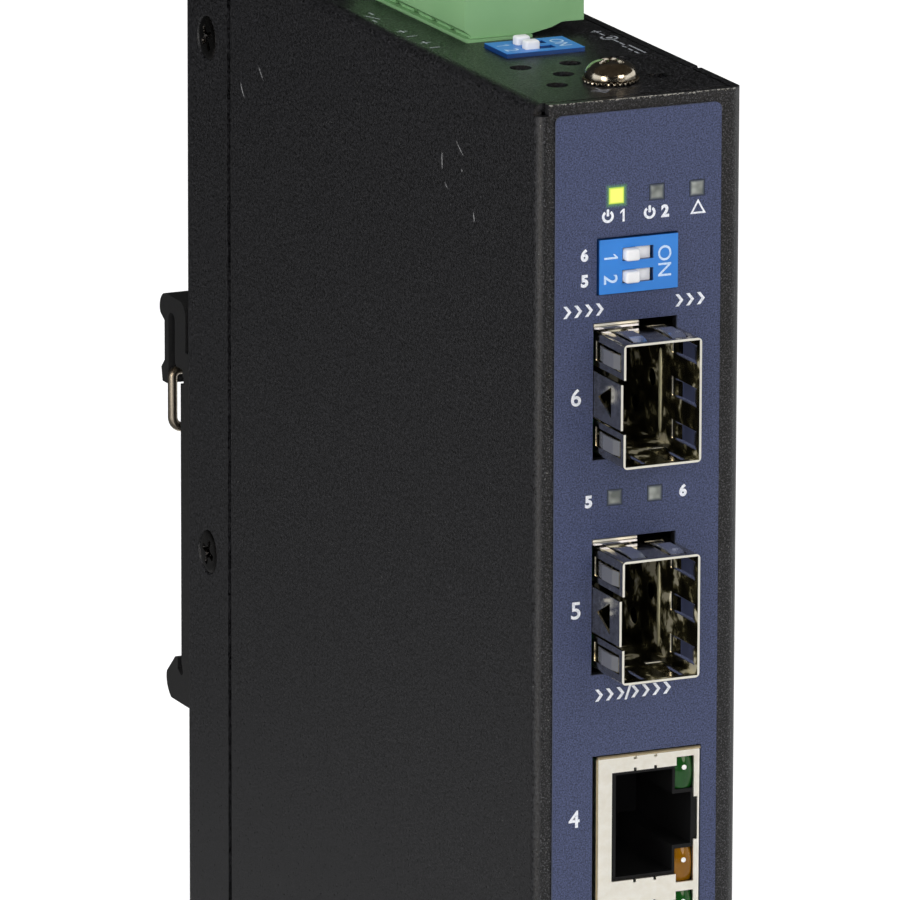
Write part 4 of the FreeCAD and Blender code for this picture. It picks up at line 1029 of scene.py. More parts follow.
def spun(degrees: float) -> np.ndarray:
    """The matrix that turns about Z by an angle in degrees."""
    angle = math.radians(degrees)
    return np.array([[math.cos(angle), -math.sin(angle), 0], [math.sin(angle), math.cos(angle), 0],
                     [0, 0, 1]])


def bead(radius: tuple[float, float], length: float, rings: int = 25, segments: int = 16) -> Patch:
    """A long bead along Z with an elliptic section that shrinks to its ends.

    At height h from -length/2 to length/2 the section's half axes are the radii times
    the eighth-order curve sqrt(1 - (2h/length)^8).
    """
    height = np.sin(np.linspace(-np.pi / 2, np.pi / 2, rings))[:, None]
    shrink = np.sqrt(np.clip(1 - height ** 8, 0, 1))
    angle = full_turn(segments)
    return surface(radius[0] * shrink * np.cos(angle), radius[1] * shrink * np.sin(angle),
                   height * length / 2)


# ---------------------------------------------------------------- sub-assemblies


@dataclass
class Housing:
    """The folded shell, the screws of its cover, and the scuffs on the left side."""

    head_radius: float = 2.72
    recess_reach: float = 1.45
    recess_blade: float = 0.62
    recess_depth: float = 0.75
    screws_per_side: int = 3
    scuff_rise: float = 0.008
    # Ends of each light scuff as (distance from the front, distance below the top), then its bow.
    scuffs: tuple = (((77.8, 11.2), (76.4, 12.7), 0.1), ((83.2, 14.2), (82.0, 15.9), 0.1),
                     ((21.9, 8.4), (19.9, 9.8), 0.15), ((25.8, 10.5), (25.75, 12.5), 0.02),
                     ((24.9, 13.8), (24.1, 14.5), 0.2), ((17.2, 15.6), (16.9, 16.7), 0.05),
                     ((20.45, 11.4), (20.3, 11.7), 0.0))

    def build(self) -> None:
        """Dress the shell and add the screws and scuffs."""
        low, high = box_mm("front_shell")
        edged = EdgedPowderCoat("powder_coat_with_bare_edge_and_painted_sparkle", "powder_coat", edge_top_mm=float(high[2]),
                                edge_front_mm=float(low[1]), edge_right_mm=float(high[0]))
        dress(edged, "front_shell")
        self.add_screws()
        self.add_scuffs(low, high)

    def head(self) -> tuple[Patch, Patch]:
        """One countersunk head, face up: a flat with a round rim, closed by its cone and shank."""
        r = self.head_radius
        profile = [(0.0, 0.0), (r * 0.5, 0.0), (r * 0.8, -0.03), (r * 0.93, -0.12), (r, -0.3),
                   (M3_RADIUS_MM, -1.3), (M3_RADIUS_MM, -3.2), (0.0, -3.2)]
        return screw_head(profile[:5], self.recess_reach, self.recess_blade, self.recess_depth), \
            lathe(profile[4:], 48)

    def add_screws(self) -> None:
        """Three heads on each side, where the CAD screws are."""
        low, high = box_mm("cover_screws")
        parts = []
        first = low[2] + self.head_radius
        last = high[2] - self.head_radius
        for k in range(self.screws_per_side):
            z = first + (last - first) * k / (self.screws_per_side - 1)
            for turn, x, y in ((LEFT, low[0], high[1] - self.head_radius),
                               (RIGHT, high[0], low[1] + self.head_radius)):
                for patch in self.head():
                    parts.append(patch.moved(turn @ spun(20 + 50 * k), (x, y, z)))
        piece = add_piece("cover_screw_set", joined(parts), BLACK_ZINC)
        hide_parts("cover_screws")

    def add_scuffs(self, low: np.ndarray, high: np.ndarray) -> None:
        """Thin bowed ribbons, up to 0.3 mm wide, where something has drawn along the side."""
        ribbons = []
        for (y0, t0), (y1, t1), bow in self.scuffs:
            s = np.linspace(0, 1, 16)
            y = low[1] + y0 + (y1 - y0) * s
            z = high[2] - (t0 + (t1 - t0) * s)
            across = bow * np.sin(np.pi * s)
            half = 0.16 * np.sin(np.pi * s) + 0.01
            sides = np.array([-1.0, 1.0])[:, None]
            ribbons.append(surface(low[0] - self.scuff_rise, y + across + sides * half, z,
                                   wrap_columns=False))
        add_piece("side_scuffs", joined(ribbons), RUBBED, smooth=False)


@dataclass
class FrontOverlay:
    """The printed overlay: plain port numbers, and small signs where such a device explains its lamps."""

    # Height and added stroke weight of the small and the large figures.
    small: tuple[float, float] = (1.45, 0.05)
    large: tuple[float, float] = (2.0, 0.018)
    stroke: float = 0.31
    corner: float = 0.1
    # Plain numbers and signs: what, X, and distance below the top.
    small_figures: tuple = (("6", -6.92, 17.33), ("5", -6.9, 20.27), ("1", -2.3, 13.18), ("2", 2.9, 13.15),
                            ("5", -6.26, 45.57), ("6", 5.36, 45.39))
    large_figures: tuple = (("6", -7.86, 33.46), ("5", -7.75, 57.95), ("4", -7.8, 82.12),
                            ("3", -7.8, 97.82), ("2", -7.8, 113.52), ("1", -7.8, 129.22))
    power_signs: tuple = ((-4.1, 13.18), (1.0, 13.18))
    fault_signs: tuple = ((6.93, 13.1),)
    # Chevrons: how many, X, and distance below the top; a slash stands between the last two rows.
    chevrons: tuple = ((4, -7.0, 23.64), (3, 6.05, 23.53), (3, -3.5, 68.04), (4, 1.6, 68.04))
    slashes: tuple = ((-1.25, 68.04),)

    def build(self) -> None:
        """Dress the overlay and print on it."""
        low, _ = box_mm("front_label")
        lens_low, lens_high = box_mm("power_lens")
        middle = (lens_low + lens_high) / 2
        face = float(low[1])
        dress(PrintedOverlay("printed_polyester_overlay", "overlay", face_mm=face,
                             lit_mm=(float(middle[0]), float(middle[2]))), "front_label")
        sets = ((self.small_figures, self.small), (self.large_figures, self.large))
        prints = [lettering(figure, height, heavy=heavy).shifted((x, -drop, 0))
                  for figures, (height, heavy) in sets for figure, x, drop in figures]
        slash = slanted(bar(self.stroke, 1.7, self.corner), 0.35)
        for sign, places in ((self.power_sign(), self.power_signs), (self.fault_sign(), self.fault_signs),
                             (slash, self.slashes)):
            prints += [sign.shifted((x, -drop, 0)) for x, drop in places]
        prints += [self.speed_sign(count).shifted((x, -drop, 0)) for count, x, drop in self.chevrons]
        flat = joined(prints).moved(FRONT, (0.0, face - INK_RISE_MM, top_mm()))
        add_piece("overlay_print", flat, WHITE_INK, smooth=False)

    def power_sign(self) -> Patch:
        """A broken ring with a short bar in its gap."""
        ring = arc_band(self.small[0] / 2, self.stroke, math.radians(125), math.radians(415))
        return joined([ring, bar(self.stroke, 0.8, self.corner).shifted((0, 0.42, 0))])

    def fault_sign(self) -> Patch:
        """A triangle outline."""
        radius, hole, drop = 1.12, 0.62, 0.18
        outer = np.array([(math.sin(a), math.cos(a)) for a in np.radians([0, 120, 240])]) * radius
        ring = np.concatenate([outer, outer * hole]) - [0, drop]
        faces = [(k, (k + 1) % 3, (k + 1) % 3 + 3, k + 3) for k in range(3)]
        return Patch(np.column_stack([ring, np.zeros(6)]), faces)

    def speed_sign(self, count: int) -> Patch:
        """Chevrons in a row, more of them for the faster way.

        Args:
            count: How many.

        Returns:
            The chevrons, centred on the origin.
        """
        half, reach, width, pitch = 0.7, 0.56, 0.42, 1.32
        points = np.array([(0, half), (width, half), (width + reach, 0), (width, -half), (0, -half),
                           (reach, 0)])
        shift = (width + reach) / 2
        one = Patch(np.column_stack([points[:, 0] - shift, points[:, 1], np.zeros(6)]),
                    [(0, 5, 2, 1), (5, 4, 3, 2)])
        return joined([one.shifted((pitch * (k - (count - 1) / 2), 0, 0)) for k in range(count)])


@dataclass
class TopPrint:
    """Polarity and contact signs on the top, beside the terminals."""

    stroke: float = 0.28
    corner: float = 0.08
    # Length of a short bar, and how far a crossing bar lies above the one under it.
    short: float = 1.3
    layer: float = 0.001
    # X, and distance behind the front, of each sign's middle.
    minus_signs: tuple = ((-10.55, 32.2), (-10.55, 38.6))
    plus_signs: tuple = ((-10.55, 34.9), (-10.55, 41.3))
    contact_signs: tuple = ((-10.6, 49.5),)
    direct_signs: tuple = ((9.6, 22.4),)
    plug_signs: tuple = ((9.6, 29.0),)
    earth_signs: tuple = ((-2.8, 4.6),)

    def build(self) -> None:
        """Print minus and plus for both supplies, and a contact, direct-current, plug and earth sign."""
        front = float(box_mm("front_shell")[0][1])
        signs = ((self.bar_along_x(), self.minus_signs), (self.plus_sign(), self.plus_signs),
                 (self.contact_sign(), self.contact_signs), (self.direct_sign(), self.direct_signs),
                 (self.plug_sign(), self.plug_signs), (self.earth_sign(), self.earth_signs))
        prints = [sign.shifted((x, from_front, 0)) for sign, places in signs for x, from_front in places]
        flat = joined(prints).moved(TOP, (0.0, front, top_mm() + INK_RISE_MM))
        add_piece("top_print", flat, GREY_INK, smooth=False)

    def bar_along_x(self, length: float | None = None) -> Patch:
        """A bar along X, short unless a length is given."""
        return bar(length or self.short, self.stroke, self.corner)

    def bar_along_y(self, length: float | None = None) -> Patch:
        """A bar along Y, short unless a length is given."""
        return bar(self.stroke, length or self.short, self.corner)

    def plus_sign(self) -> Patch:
        """Two crossed bars."""
        return joined([self.bar_along_x(), self.bar_along_y().shifted((0, 0, self.layer))])

    def contact_sign(self) -> Patch:
        """A changeover contact: two stubs and a slanting arm."""
        arm = slanted(self.bar_along_y(2.4), -0.35)
        return joined([arm, self.bar_along_y().shifted((-0.55, -1.9, 0)),
                       self.bar_along_y().shifted((0.7, 1.9, 0))])

    def direct_sign(self) -> Patch:
        """A long bar over three short ones, running along the part's depth."""
        parts = [self.bar_along_y(4.4).shifted((0.42, 0, 0))]
        parts += [self.bar_along_y(1.1).shifted((-0.42, 1.65 * k, 0)) for k in (-1, 0, 1)]
        return joined(parts)

    def plug_sign(self) -> Patch:
        """Minus, a dot in a broken ring, and plus, joined by short leads along the part's depth."""
        ring = arc_band(1.05, self.stroke, math.radians(30), math.radians(330)).moved(spun(90), (0, 0, 0))
        dot = bar(0.8, 0.8, 0.38)
        leads = [self.bar_along_y().shifted((0, 1.9 * way, self.layer)) for way in (-1, 1)]
        minus = self.bar_along_y().shifted((0, -3.4, 0))
        return joined([ring, dot, *leads, minus, self.plus_sign().shifted((0, 3.5, 0))])

    def earth_sign(self) -> Patch:
        """A stem over three bars, each shorter than the last."""
        parts = [bar(0.2, self.short, self.corner).shifted((0, 0.65, self.layer))]
        parts += [bar(2.4 - 0.8 * k, 0.2, self.corner).shifted((0, -0.55 * k, 0)) for k in range(3)]
        return joined(parts)


@dataclass
class IndicatorWindows:
    """The lit power window and the four unlit ones."""

    # X and distance below the top of each unlit window's middle.
    unlit: tuple = ((1.88, 10.9), (6.81, 10.9), (-3.05, 45.35), (1.88, 45.35))

    def build(self) -> None:
        """Dress the windows."""
        low, high = box_mm("power_lens")
        middle = (low + high) / 2
        places = tuple((x, top_mm() - drop) for x, drop in self.unlit)
        dress(LitWindow("lit_indicator_window", "lit_lens", centre_mm=(float(middle[0]), float(middle[2]))),
              "power_lens")
        dress(ClearWindow("clear_indicator_window", "smoke_lens", centres_mm=places), "status_lenses")


@dataclass
class DipSwitch:
    """A two-way DIP switch: printed body and two round-edged sliders."""

    place: str = "front"
    turn: np.ndarray = field(default_factory=lambda: FRONT)
    nub_round: float = 0.3
    nub_start: float = -1.92
    nub_length: float = 1.75
    nub_width: float = 1.34
    # Print in the body's own frame: glyph, u, v, height.
    glyphs: tuple = ((Way.FIRST.value, -3.4, 1.1, 1.66), (Way.SECOND.value, -3.42, -1.45, 1.66))
    word: tuple = ("ON", 3.17, 0.1, 1.62, 3.5)
    glyph_weight: float = 0.012
    word_weight: float = 0.006

    def centre(self) -> np.ndarray:
        """Middle of the body's face."""
        low, high = box_mm(f"{self.place}_dip_body")
        out = self.turn[:, 2]
        return np.where(out > 0.5, high, np.where(out < -0.5, low, (low + high) / 2))

    def build(self) -> None:
        """Dress the body, print on it and replace both sliders."""
        face = self.centre()
        on_top = self.turn is TOP
        body = SwitchBody(f"blue_{self.place}_switch_body", "blue_plastic", dark="#2678cf",
                          light="#3389e0", roughness=0.38, axis="Z" if on_top else "Y",
                          face_mm=float(face[2 if on_top else 1]), below=on_top)
        dress(body, f"{self.place}_dip_body")
        quarter = np.array([[0, 1, 0], [-1, 0, 0], [0, 0, 1.0]])
        parts = [lettering(text, height, heavy=self.glyph_weight).moved(quarter, (u, v, INK_RISE_MM))
                 for text, u, v, height in self.glyphs]
        text, u, v, height, length = self.word
        parts.append(lettering(text, height, length, self.word_weight).moved(quarter, (u, v, INK_RISE_MM)))
        printed = joined(parts).moved(self.turn, tuple(face))
        add_piece(f"{self.place}_switch_print", printed, PALE_INK, smooth=False)
        for index, way in enumerate(Way, start=1):
            self.add_slider(index, way)

    def add_slider(self, index: int, way: Way) -> None:
        """Replace one slider by a base plate and a nub with round edges.

        Args:
            index: 1 or 2.
            way: Which way it belongs to.
        """
        node = f"{self.place}_dip_slider_{index}"
        low, high = box_mm(node)
        corners = np.stack([low, high]) - self.centre()
        local = corners @ self.turn
        low_l, high_l = local.min(0), local.max(0)
        middle_v = (low_l[1] + high_l[1]) / 2
        # The nub goes this far down into the base, whose own edges are barely round.
        sunk, base_round = 0.3, 0.06
        half = (self.nub_length / 2, self.nub_width / 2, (high_l[2] - SLIDER_BASE_MM + sunk) / 2)
        nub_middle = (self.nub_start + half[0], middle_v, high_l[2] - half[2])
        nub = rounded_block(half, self.nub_round).shifted(nub_middle)
        base_half = ((high_l[0] - low_l[0]) / 2, (high_l[1] - low_l[1]) / 2,
                     (SLIDER_BASE_MM - low_l[2]) / 2)
        base_middle = ((low_l[0] + high_l[0]) / 2, middle_v, (low_l[2] + SLIDER_BASE_MM) / 2)
        base = rounded_block(base_half, base_round, 2).shifted(base_middle)
        patch = joined([nub, base]).moved(self.turn, tuple(self.centre()))
        piece = add_piece(f"{self.place}_switch_slider_{way.value}", patch, WHITE_NYLON, body=node)
        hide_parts(node)


@dataclass
class SfpCages:
    """The two sheet-metal cages."""

    wall: float = 0.25
    width: float = 9.5
    height: float = 14.2
    # Fingers below and the tongue at the left stand out from the walls by this much.
    formed_rise: float = 0.35
    rib_depth: float = 10.2
    rib_drop: float = 1.2
    rib_radii: tuple[float, float] = (0.2, 0.34)
    rib_end: float = 2.2

    def build(self) -> None:
        """Dress both cages, and add the rib pressed into each right wall."""
        ribs = []
        for place in ("upper", "lower"):
            low, high = box_mm(f"{place}_sfp_cage")
            corner = (float(low[0]) + self.formed_rise, float(low[1]), float(low[2]) + self.formed_rise)
            far = (corner[0] + self.width, float(high[1]), corner[2] + self.height)
            finish = CageSheet(f"nickel_silver_{place}_cage", "bright_nickel", dark="#b7b09c",
                               light="#dbd5c3", roughness=(0.1, 0.24), wave_mm=2.2, wave_depth_mm=0.03,
                               stain_mm=0.9, low_mm=corner, high_mm=far)
            dress(finish, f"{place}_sfp_cage")
            rib = bead(self.rib_radii, self.height - 2 * self.rib_end)
            ribs.append(rib.shifted((far[0] - self.wall, corner[1] + self.rib_depth,
                                     (corner[2] + far[2]) / 2 - self.rib_drop)))
        add_piece("cage_wall_ribs", joined(ribs), RIB_SHEET)


@dataclass
class PortJack:
    """The four-port jack's curved light pipes and the bends of its shield."""

    ports: int = 4
    pitch: float = 15.7
    bow: float = 0.3
    crown: float = 0.35
    # The tip, a near-white dome that stands in as a painted glint: radius, rise, and its place as shares
    # across and up the pipe.
    tip: tuple[float, float, float, float] = (0.3, 0.13, -0.04, 0.3)
    # Radius of the shield's bend along its top and along its left side.
    top_bend: float = 0.3
    side_bend: float = 0.18

    def build(self) -> None:
        """Replace the light pipes and add the shield's bends."""
        glint_tips = self.add_pipes("green_light_pipes", GREEN_PIPE)
        glint_tips += self.add_pipes("amber_light_pipes", AMBER_PIPE)
        # Near-white domes on the pipes: painted glints.
        add_piece("pipe_painted_glints", joined(glint_tips), GLINT_TIP)
        self.add_bends()

    def add_pipes(self, node: str, finish: Finish) -> list[Patch]:
        """Replace one colour of light pipes by blocks with a bulging face.

        At (s, t), both from -1 to 1 across and up the pipe, the face lies behind its highest point by
        bow x s squared + crown x t squared. The tip is a dome: height = rise x cos(a) at radius x sin(a).

        Args:
            node: The CAD node of that colour.
            finish: Its tinted finish.

        Returns:
            The near-white domes on the pipes' faces, which stand in as painted glints.
        """
        low, high = box_mm(node)
        height = (high[2] - low[2]) - self.pitch * (self.ports - 1)
        s, t = np.meshgrid(np.linspace(-1, 1, 17), np.linspace(-1, 1, 21))
        face_y = low[1] + self.bow * s ** 2 + self.crown * t ** 2
        middle = (low[0] + high[0]) / 2
        x = middle + s * (high[0] - low[0]) / 2
        radius, rise, across, up = self.tip
        angle = np.linspace(0, np.pi / 2, 8)
        sunk = -0.1
        dome = lathe([*zip(radius * np.sin(angle), rise * np.cos(angle)), (radius, sunk), (0.0, sunk)], 24)
        pipes = []
        glint_tips = []
        for k in range(self.ports):
            centre = low[2] + self.pitch * k + height / 2
            pipes.append(self.block(x, face_y, centre + t * height / 2, float(high[1])))
            glint_tips.append(dome.moved(FRONT, (middle + across, low[1] + self.crown * up ** 2 + 0.02,
                                           centre + up * height / 2)))
        piece = add_piece(node.replace("pipes", "pipe_set"), joined(pipes), finish, sharp_degrees=50)
        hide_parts(node)
        return glint_tips

    def add_bends(self) -> None:
        """The shield's rolled bends: a quarter round of solid strip along the top and the left side.

        A section point at angle a is radius x sin(a) out from the face's edge, and radius x (1 - cos(a))
        behind it.
        """
        low, high = box_mm("jack_shield")
        a = np.linspace(0, np.pi / 2, 9)
        parts = []
        for radius, start, end, out in ((self.top_bend, (low[0], high[2]), (high[0], high[2]), (0, 1)),
                                        (self.side_bend, (low[0], low[2]), (low[0], high[2]), (-1, 0))):
            away = np.append(radius * np.sin(a), 0.0)
            behind = low[1] + np.append(radius * (1 - np.cos(a)), radius)
            rows = [np.stack([spot[0] + out[0] * away, behind, spot[1] + out[1] * away], -1)
                    for spot in (start, end)]
            count = len(away)
            faces = grid_faces(2, count, wrap_columns=True)
            faces += [tuple(range(count)), tuple(range(2 * count - 1, count - 1, -1))]
            parts.append(Patch(np.concatenate(rows), faces))
        # The bends' darker, browner tone is painted shade and a warm painted reflection.
        add_piece("shield_bends", joined(parts), SHADED_BENT_EDGE, sharp_degrees=50)

    def block(self, x: np.ndarray, y: np.ndarray, z: np.ndarray, back: float) -> Patch:
        """Close a grid face into a block: a copy of its points at the back, and four sides between.

        Args:
            x: The face's X.
            y: The face's Y.
            z: The face's Z.
            back: Y of the block's back.

        Returns:
            The closed block.
        """
        rows, columns = x.shape
        count = rows * columns
        points = np.concatenate([np.stack([x, y, z], -1).reshape(-1, 3),
                                 np.stack([x, np.full_like(y, back), z], -1).reshape(-1, 3)])
        front = grid_faces(rows, columns)
        faces = front + [tuple(count + i for i in reversed(face)) for face in front]
        index = np.arange(count).reshape(rows, columns)
        ring = np.concatenate([index[0, :-1], index[:-1, -1], index[-1, :0:-1], index[:0:-1, 0]])
        following = np.roll(ring, -1)
        faces += [tuple(q) for q in np.stack([ring, ring + count, following + count, following],
                                             -1).tolist()]
        return Patch(points, faces)


@dataclass
class GroundScrew:
    """The domed ground screw with its washer flange."""

    # Shares of the flange's radius, and heights in millimetres.
    dome_share: float = 0.92
    flange_height: float = 0.55
    tip: float = 0.3
    shank: float = 1.95
    reach: float = 1.6
    blade: float = 0.72
    depth: float = 1.15
    turned: float = 28.0
    teeth: int = 30
    bite: float = 0.12
    twist: float = 0.1

    def build(self) -> None:
        """Replace the screw by a turned head with a smooth recess, on a toothed washer.

        The dome's height above the washer is the rise times cos(a) to the power 0.75 at radius r sin(a).
        """
        low, high = box_mm("ground_screw")
        centre = (low + high) / 2
        top = top_mm()
        edge = float(high[0] - low[0]) / 2
        rise = float(high[2]) - top - self.flange_height
        angle = np.linspace(0, np.pi / 2, 16)
        dome = list(zip(self.dome_share * edge * np.sin(angle),
                        self.flange_height + rise * np.clip(np.cos(angle), 0, 1) ** 0.75))
        foot = float(low[2]) - top
        head = screw_head(dome, self.reach, self.blade, self.depth, 56, 128)
        tail = lathe([(self.shank, self.flange_height), (self.shank, foot + self.tip),
                      (self.shank - self.tip, foot), (0.0, foot)], 64)
        patch = joined([head, self.washer(edge), tail]).moved(TOP @ spun(self.turned),
                                                              (centre[0], centre[1], top))
        piece = add_piece("ground_screw_head", patch, NICKEL, sharp_degrees=50)
        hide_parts("ground_screw")

    def washer(self, edge: float) -> Patch:
        """The captive washer, whose teeth are twisted so that their tips stand high and low in turn.

        A closed section goes round at radius r and height h; towards the rim, h rises and falls by
        twist x sin(teeth x a), and the rim steps in by the bite between two teeth.

        Args:
            edge: Its outer radius in millimetres.

        Returns:
            The closed ring.
        """
        a = full_turn(self.teeth * 8)
        share = np.array([0.6, 0.84, 0.95, 1.0, 1.0, 0.95, 0.6])[:, None]
        level = np.array([0.95, 0.95, 0.9, 0.72, 0.38, 0.18, 0.12])[:, None]
        outer = np.clip((share - 0.84) / 0.16, 0, 1)
        radius = edge * share - self.bite * outer * (0.5 + 0.5 * np.cos(self.teeth * a))
        height = self.flange_height * level + self.twist * outer * np.sin(self.teeth * a)
        return surface(radius * np.cos(a), radius * np.sin(a), height, wrap_rows=True)


@dataclass
class RailClip:
    """The clip's screws and wire spring."""

    top_bend: float = 0.85
    foot_bend: float = 1.3
    # The head is smaller than its countersink by this much all round.
    rim_gap: float = 0.03
    recess_reach: float = 1.5
    recess_blade: float = 0.65
    recess_depth: float = 0.8

    def build(self) -> None:
        """Replace spring and screws."""
        self.add_spring()
        self.add_screws()

    def add_spring(self) -> None:
        """A round wire carried along a rectangle with round corners, tighter above than below.

        The path runs at (x, z) = corner centre + bend (cos a, sin a), a going once round; each of its
        points carries a circle in the plane of the path's outward normal and Y.
        """
        low, high = box_mm("rail_spring")
        wire = float(high[1] - low[1]) / 2
        y = (low[1] + high[1]) / 2
        half_x = (high[0] - low[0]) / 2 - wire
        half_z = (high[2] - low[2]) / 2 - wire
        middle_z = (low[2] + high[2]) / 2
        turn, side_x, side_z = corner_walk(8)
        bend = np.where(side_z > 0, self.top_bend, self.foot_bend)
        ring = full_turn(20)
        reach = bend[:, None] + wire * np.cos(ring)
        x = (side_x * (half_x - bend))[:, None] + np.cos(turn)[:, None] * reach
        z = middle_z + (side_z * (half_z - bend))[:, None] + np.sin(turn)[:, None] * reach
        patch = surface(x, y + wire * np.sin(ring), z, wrap_rows=True)
        piece = add_piece("wire_spring", patch, SPRING_WIRE, body="rail_spring", sharp_degrees=80)
        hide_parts("rail_spring")

    def add_screws(self) -> None:
        """Two countersunk heads in the clip's plate."""
        low, high = box_mm("clip_screws")
        r = (high[0] - low[0]) / 2 - self.rim_gap
        end = low[1] - high[1]
        head = screw_head([(0.0, 0.0), (r * 0.6, 0.0), (r * 0.9, -0.05), (r, -0.22)], self.recess_reach,
                          self.recess_blade, self.recess_depth)
        shank = lathe([(r, -0.22), (M3_RADIUS_MM, -1.4), (M3_RADIUS_MM, end), (0, end)], 48)
        parts = [patch.moved(BACK, (0.0, high[1], z))
                 for z in (low[2] + r, high[2] - r) for patch in (head, shank)]
        piece = add_piece("clip_screw_set", joined(parts), BLACK_ZINC)
        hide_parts("clip_screws")


# CAD nodes that only need a finish.
PLAIN_NODES = (
    (COAT, ("rear_cover",)),
    (ZINC, ("left_strap", "right_strap", "ground_nut", "clip_nuts", "board_standoffs", "board_screws",
            "clamp_screws", "wire_clamps")),
    (TIN, ("jack_shield", "dip_pins", "header_pins")),
    (GOLD, ("jack_contacts",)),
    (TERMINAL_GREEN, ("terminal_header", "terminal_plug")),
    (BLACK_INSERT, ("jack_housing", "upper_led_holder", "lower_led_holder", "upper_sfp_connector",
                    "lower_sfp_connector", "switch_chip", "power_coil", "fault_relay")),
    (LAMP_CLEAR, ("indicator_leds",)),
    (ANODISED, ("din_clip",)),
    (BOARD, ("main_board",)),
    (ALUMINIUM, ("heat_sink", "capacitors")),
)


# ---------------------------------------------------------------- studio


def rectangle(low: tuple, high: tuple) -> list[tuple[float, float, float]]:
    """The corners of a level or upright rectangle between two opposite ones."""
    (x0, y0, z0), (x1, y1, z1) = low, high
    return [(x0, y0, z0), (x1, y0, z0), (x1, y1, z1), (x0, y1, z1)]


